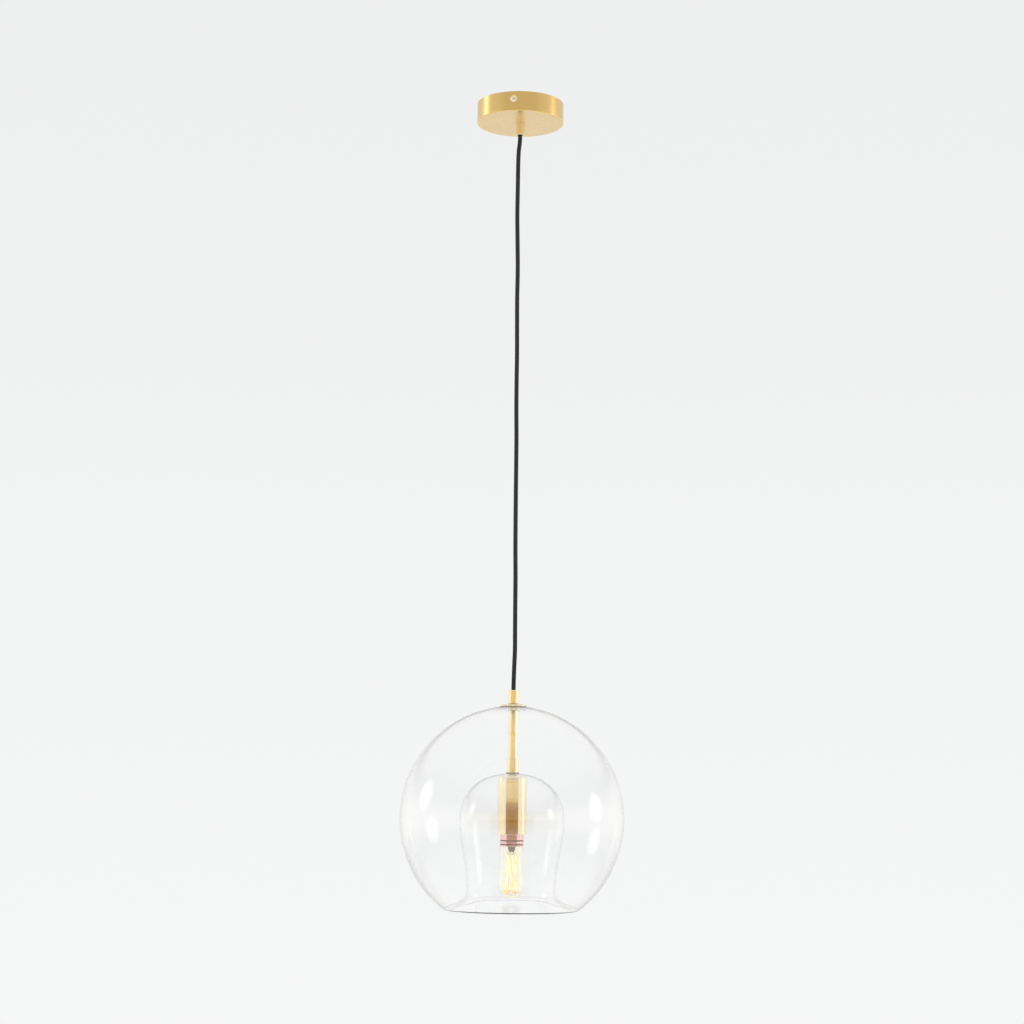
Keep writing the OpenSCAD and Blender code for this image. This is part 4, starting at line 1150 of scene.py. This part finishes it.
class PENDANT_OT_bulb(bpy.types.Operator):
    """Filament bulb: threaded cap, rose band, envelope, mount, supports and glowing sticks"""

    bl_idname = "pendant.bulb"
    bl_label = "Bulb"

    def execute(self, context):
        look = context.scene.pendant_bulb
        band_lo, band_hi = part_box("bulb_collar")
        centre_z = foot_of("bulb_glass") + radius_of("bulb_glass")
        self.band(look, band_lo.z, band_hi)
        self.envelope(look, band_lo.z, centre_z)
        self.cap(look, band_hi.z)
        self.mount(look, band_lo.z, centre_z)
        self.sticks(look, band_lo.z, centre_z)
        return {"FINISHED"}

    def band(self, look, foot, hi):
        r, top = hi.x, hi.z
        inner, lid, lid_hole, groove, depth = look.neck + 0.2 * MM, 1.5 * MM, 8 * MM, 1.4 * MM, 0.6 * MM
        outline = [(lid_hole, top - lid), (lid_hole, top), (r, top)]
        radii = [0, 0.3 * MM, 0.6 * MM]
        for share in (0.5, 0.8):
            z = top - share * (top - foot)
            outline += [(r, z), (r - depth, z), (r - depth, z - groove), (r, z - groove)]
            radii += [0.3 * MM, 0.1 * MM, 0.1 * MM, 0.3 * MM]
        outline += [(r, foot), (inner, foot), (inner, top - lid)]
        radii += [0.5 * MM, 0.2 * MM, 0]
        turned("bulb_band", "bulb_collar", outline, radii, "bulb", "rose_collar")

    def envelope(self, look, neck_z, centre_z):
        outer = bulb_line(look, 0.0, neck_z, centre_z)
        inner = bulb_line(look, look.wall, neck_z, centre_z)
        outline = outer + inner[::-1]
        envelope = turn_profile("bulb_envelope", outline, steps=128, smooth=60)
        assemble(envelope, "bulb", "bulb_glass", ["bulb_glass"])

    def cap(self, look, foot):
        """Thin cap whose side is a rounded thread, made with a Screw modifier and trimmed at both ends."""
        top = top_of("bulb_cap")
        pitch = look.thread_pitch
        crest, root = 13.0 * MM, 12.55 * MM
        mid, swing = (crest + root) / 2, (crest - root) / 2
        start, end = foot + 3.0 * MM, top - 3.5 * MM
        turns = int((end - start) / pitch) + 2
        shares = [i / 12 for i in range(13)]
        wave = [(mid - swing * math.cos(2 * math.pi * t), start - pitch + pitch * t) for t in shares]
        draw_profile(wave, False)
        bpy.ops.object.mode_set(mode="OBJECT")
        thread = bpy.context.object
        screw = thread.modifiers.new("thread", "SCREW")
        screw.axis = "Z"
        screw.angle = 2 * math.pi
        screw.screw_offset = pitch
        screw.iterations = turns
        screw.steps = screw.render_steps = 72
        screw.use_merge_vertices = True
        screw.merge_threshold = 0.005 * MM
        bpy.ops.object.modifier_apply(modifier="thread")
        bpy.ops.object.mode_set(mode="EDIT")
        for z, keep_above in ((start, True), (end, False)):
            bpy.ops.mesh.select_all(action="SELECT")
            bpy.ops.mesh.bisect(
                plane_co=(0, 0, z), plane_no=(0, 0, 1), clear_inner=keep_above, clear_outer=not keep_above
            )
        bpy.ops.mesh.select_all(action="SELECT")
        bpy.ops.mesh.remove_doubles(threshold=0.005 * MM)
        bpy.ops.object.mode_set(mode="OBJECT")
        wall = thread.modifiers.new("wall", "SOLIDIFY")
        wall.thickness = 0.3 * MM
        wall.offset = 0.0
        bpy.ops.object.modifier_apply(modifier="wall")
        lap, seat = 0.4 * MM, foot + 0.03 * MM
        inner = root - lap
        skirt = [(inner, seat), (crest, seat), (crest, start + 0.2 * MM), (root, start + 0.6 * MM),
                 (inner, start + 0.6 * MM)]
        lid = [(root, end - lap), (crest - 0.6 * MM, end), (crest - 1.2 * MM, end + 1.2 * MM),
               (10.5 * MM, top - 0.2 * MM), (9.8 * MM, top), (0.0, top), (0.0, top - lap),
               (10.0 * MM, top - 0.6 * MM), (inner - 0.3 * MM, end - lap)]
        pieces = [thread] + [turn_profile("cap_end", outline, steps=72) for outline in (skirt, lid)]
        cap = join_pieces("bulb_cap_threaded", pieces)
        smoothed(cap, 50)
        assemble(cap, "bulb", "bulb_metal", ["bulb_cap"])

    def mount(self, look, neck_z, centre_z):
        """Glass mount: a flared foot fused to the neck and a rod down the middle."""
        flare = look.neck - look.wall - 0.05 * MM
        top, tip, rod = neck_z + 5 * MM, centre_z - 5 * MM, 1.6 * MM
        outline = [
            (0.0, top + 1 * MM), (flare, top + 1 * MM), (flare, top), (6 * MM, top - 4 * MM),
            (3.4 * MM, top - 12 * MM), (rod, top - 15 * MM), (rod, tip + rod), (1.4 * MM, tip + 0.6 * MM),
            (0.0, tip),
        ]
        mount = turn_profile("bulb_mount", outline, closed=False, steps=48, smooth=60)
        assemble(mount, "bulb", "bulb_glass", ["bulb_stem"])

    def sticks(self, look, neck_z, centre_z):
        """Leaning sticks of light around the mount, each held by a wire at both ends."""
        envelope = radius_of("bulb_glass")
        upper, upper_z = 0.44 * look.neck, neck_z - 11 * MM
        lower, lower_z = 0.55 * envelope, centre_z - 0.5 * envelope
        slim, tip, gap, root, wire_radius = 0.9 * MM, 0.4 * MM, 1.35 * MM, 2.05 * MM, 0.3 * MM
        span = math.sqrt(
            upper**2 + lower**2 - 2 * upper * lower * math.cos(look.twist) + (upper_z - lower_z) ** 2
        )
        outline = [(0.0, 0.0), (slim - tip, 0.0), (slim, tip),
                   (slim, span - tip), (slim - tip, span), (0.0, span)]
        first = turn_profile("light_stick_1", outline, closed=False, steps=16, smooth=60)
        sticks = [first] + [copy_of(first, f"light_stick_{i + 1}") for i in range(1, look.sticks)]
        wires = []
        for i, stick in enumerate(sticks):
            az = math.radians(45) + 2 * math.pi * i / look.sticks
            out = Vector((math.cos(az), math.sin(az), 0))
            far = Vector((math.cos(az + look.twist), math.sin(az + look.twist), 0))
            head = out * upper + Vector((0, 0, upper_z))
            foot = far * lower + Vector((0, 0, lower_z))
            lean = Vector((0, 0, 1)).rotation_difference(head - foot).to_matrix().to_4x4()
            settle(stick, Matrix.Translation(foot) @ lean)
            assemble(stick, "bulb", "filament")
            hook = [out * root + Vector((0, 0, upper_z + 0.3 * MM)),
                    out * (upper + root) / 2 + Vector((0, 0, upper_z + 1.4 * MM)), head + Vector((0, 0, gap))]
            wires.append(wire(f"upper_wire_{i}", smooth_path(hook, 6), wire_radius, 8))
            hook = [far * root + Vector((0, 0, centre_z - 4 * MM)), foot - far * gap]
            wires.append(wire(f"lower_wire_{i}", hook, wire_radius, 8))
        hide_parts("bulb_filaments")
        supports = join_pieces("stick_wires", wires)
        assemble(supports, "bulb", "bulb_metal", ["bulb_supports"])


# --- stage --------------------------------------------------------------------------------------


class PENDANT_OT_camera(bpy.types.Operator):
    """Camera at the height of the shade, tilted a little upwards"""

    bl_idname = "pendant.camera"
    bl_label = "Camera"

    def execute(self, context):
        stage = context.scene.pendant_stage
        data = bpy.data.cameras.new("camera")
        data.lens = stage.lens
        data.sensor_width = 36.0
        data.clip_end = 100.0
        camera = bpy.data.objects.new("camera", data)
        context.collection.objects.link(camera)
        place = Vector((
            stage.distance * math.sin(stage.azimuth), -stage.distance * math.cos(stage.azimuth), stage.eye
        ))
        turn = (
            Matrix.Rotation(stage.azimuth + stage.pan, 4, "Z")
            @ Matrix.Rotation(math.pi / 2 + stage.tilt, 4, "X")
            @ Matrix.Rotation(stage.roll, 4, "Z")
        )
        camera.matrix_world = Matrix.Translation(place) @ turn
        context.scene.camera = camera
        return {"FINISHED"}


# name, azimuth from the camera's side, elevation and half width in degrees, mirrored glow, size and power
SOFT_BOXES = (
    ("soft_box_left", -104, 14, 12, 2.3, (0.95, 0.75), 24.0),
    ("soft_box_right", 96, 8, 12, 2.6, (0.85, 0.75), 20.0),
)
SOFT_BOX_DISTANCE = 2.4
# brightness of the room's walls from straight down to straight up
WALL_STOPS = (
    (0.0, (0.92, 0.92, 0.92)), (0.52, (0.93, 0.93, 0.92)), (0.60, (0.80, 0.79, 0.78)),
    (0.64, (0.66, 0.65, 0.64)), (0.74, (0.70, 0.70, 0.70)), (0.85, (0.92, 0.92, 0.92)),
)
# tones behind and in front of the light, from low to high around eye level
BACK_STOPS = (
    (0.30, (0.84, 0.84, 0.83)),
    (0.46, (0.93, 0.93, 0.92)),
    (0.70, (0.93, 0.93, 0.92)),
    (0.77, (0.70, 0.70, 0.69)),
    (0.84, (0.70, 0.70, 0.69)),
    (0.92, (0.93, 0.93, 0.92)),
)
FRONT_STOPS = (
    (0.20, (0.16, 0.13, 0.10)),
    (0.27, (0.58, 0.56, 0.52)),
    (0.42, (0.52, 0.48, 0.42)),
    (0.455, (0.38, 0.20, 0.07)),
    (0.530, (0.36, 0.19, 0.06)),
    (0.545, (0.24, 0.18, 0.11)),
    (0.57, (0.20, 0.17, 0.14)),
    (0.64, (0.52, 0.49, 0.44)),
    (0.80, (0.62, 0.59, 0.54)),
    (0.95, (0.70, 0.68, 0.66)),
)


def towards(stage, azimuth, elevation):
    """Direction from the light to a soft box."""
    a, e = stage.azimuth + math.radians(azimuth), math.radians(elevation)
    return Vector((math.sin(a) * math.cos(e), -math.cos(a) * math.cos(e), math.sin(e)))


class PENDANT_OT_stage(bpy.types.Operator):
    """Pale floor, soft light and the pale room around the light"""

    bl_idname = "pendant.stage"
    bl_label = "Stage"

    def execute(self, context):
        stage = context.scene.pendant_stage
        self.room(context.scene, stage)
        self.floor(stage)
        self.lights(context, stage)
        context.scene.view_settings.view_transform = "Standard"
        context.scene.cycles.max_bounces = 32
        context.scene.cycles.transmission_bounces = 28
        context.scene.cycles.transparent_max_bounces = 16
        return {"FINISHED"}

    def room(self, scene, stage):
        """Pale backdrop seen directly and through the glass; reflections see a studio with a darker front."""
        world = bpy.data.worlds.new("studio")
        scene.world = world
        shop = Shop(world)
        way = shop.node("ShaderNodeTexCoord", out="Generated")
        x, y, z = shop.parts(way)
        front = x * math.sin(stage.azimuth) - y * math.cos(stage.azimuth)
        level = (1 - z * z).most(0.0001).root()
        facing = front / level
        sides = (1 - facing * facing) * (1 - z.size().ramp(0.06, 0.22))
        behind = shop.tones_of(z + 0.5, BACK_STOPS)
        walls = shop.mix(facing.ramp(-0.55, -0.15), behind, shop.tones_of(z * 0.5 + 0.5, WALL_STOPS))
        walls = shop.mix(sides, walls, (1.08, 1.07, 1.05))
        speckle = shop.noise(shop.vector(x * 14.0, y * 14.0, z * 460.0), 1.0, 1.0).ramp(0.38, 0.62)
        shelf = shop.mix(speckle, (0.60, 0.46, 0.22), (1.06, 0.94, 0.56))
        shelf_share = z.ramp(0.0015, 0.0035) - z.ramp(0.085, 0.12)
        front_tone = shop.mix(shelf_share, shop.tones_of(z + 0.5, FRONT_STOPS), shelf)
        dark = facing.ramp(0.60, 0.70) * (1 - z.size().ramp(0.34, 0.44))
        studio = shop.mix(dark, walls, front_tone)
        for _, azimuth, elevation, spread, bright, _, _ in SOFT_BOXES:
            out = towards(stage, azimuth, elevation)
            near = x * out.x + y * out.y + z * out.z
            glow = near.ramp(math.cos(math.radians(spread)), math.cos(math.radians(spread * 0.3)))
            studio = shop.mix(glow, studio, (bright, bright, bright * 0.98))
        backdrop = shop.mix(z.ramp(-0.12, 0.35), shade(stage.backdrop, 1.05), shade(stage.backdrop, 0.985))
        depths = shop.node("ShaderNodeLightPath").socket.node.outputs
        bounced = Value(shop, depths["Glossy Depth"]) + Value(shop, depths["Diffuse Depth"])
        colour_seen = shop.mix(bounced.least(1.0), backdrop, studio)
        sky = shop.node("ShaderNodeBackground", None, {"Color": colour_seen, "Strength": 1.0})
        shop.node("ShaderNodeOutputWorld", None, {"Surface": sky})

    def floor(self, stage):
        deselect_all()
        bpy.ops.mesh.primitive_circle_add(
            vertices=128, radius=9.0, fill_type="NGON", location=(0, 0, -stage.floor_drop)
        )
        floor = bpy.context.object
        floor.name = "floor"
        shop = new_shop("pale_floor")
        clouds = shop.noise(shop.place(), 3.0, 4.0)
        floor.data.materials.append(shop.surface(
            Base_Color=shop.mix(clouds, (0.90, 0.90, 0.90), (0.93, 0.93, 0.93)),
            Roughness=clouds * 0.1 + 0.55,
        ))

    def lights(self, context, stage):
        """Soft boxes that light matt surfaces; polished ones mirror their glow in the room."""
        target = (CAD_BOX[0] + CAD_BOX[1]) / 2
        for name, azimuth, elevation, _, _, size, power in SOFT_BOXES:
            data = bpy.data.lights.new(name, "AREA")
            data.shape = "ELLIPSE"
            data.size, data.size_y = size
            data.energy = power
            lamp = bpy.data.objects.new(name, data)
            context.collection.objects.link(lamp)
            out = towards(stage, azimuth, elevation)
            lamp.location = target + out * SOFT_BOX_DISTANCE
            lamp.rotation_euler = (-out).to_track_quat("-Z", "Y").to_euler()
            lamp.visible_glossy = lamp.visible_transmission = lamp.visible_camera = False


class PENDANT_PT_panel(bpy.types.Panel):
    """The pendant's pieces, in the order in which they are made"""

    bl_idname = "PENDANT_PT_panel"
    bl_label = "Pendant ceiling light"
    bl_space_type = "VIEW_3D"
    bl_region_type = "UI"
    bl_category = "Pendant"

    def draw(self, context):
        for operator in OPERATORS:
            self.layout.operator(operator.bl_idname)


GROUPS = {
    "pendant_glass": GlassSizes,
    "pendant_metal": MetalColours,
    "pendant_cord": CordLook,
    "pendant_bulb": BulbLook,
    "pendant_stage": StageLook,
}
OPERATORS = (
    PENDANT_OT_camera,
    PENDANT_OT_cord,
    PENDANT_OT_fittings,
    PENDANT_OT_canopy,
    PENDANT_OT_wiring,
    PENDANT_OT_grip,
    PENDANT_OT_stem,
    PENDANT_OT_shade,
    PENDANT_OT_cup,
    PENDANT_OT_bulb,
    PENDANT_OT_stage,
)


def register():
    for group in GROUPS.values():
        bpy.utils.register_class(group)
    for operator in OPERATORS:
        bpy.utils.register_class(operator)
    bpy.utils.register_class(PENDANT_PT_panel)
    for name, group in GROUPS.items():
        setattr(bpy.types.Scene, name, PointerProperty(type=group))


def unregister():
    for name in GROUPS:
        delattr(bpy.types.Scene, name)
    bpy.utils.unregister_class(PENDANT_PT_panel)
    for operator in reversed(OPERATORS):
        bpy.utils.unregister_class(operator)
    for group in reversed(list(GROUPS.values())):
        bpy.utils.unregister_class(group)


def main():
    register()
    make_finishes(bpy.context.scene)
    for operator in OPERATORS:
        section, name = operator.bl_idname.split(".")
        getattr(getattr(bpy.ops, section), name)()


if __name__ == "__main__":
    main()
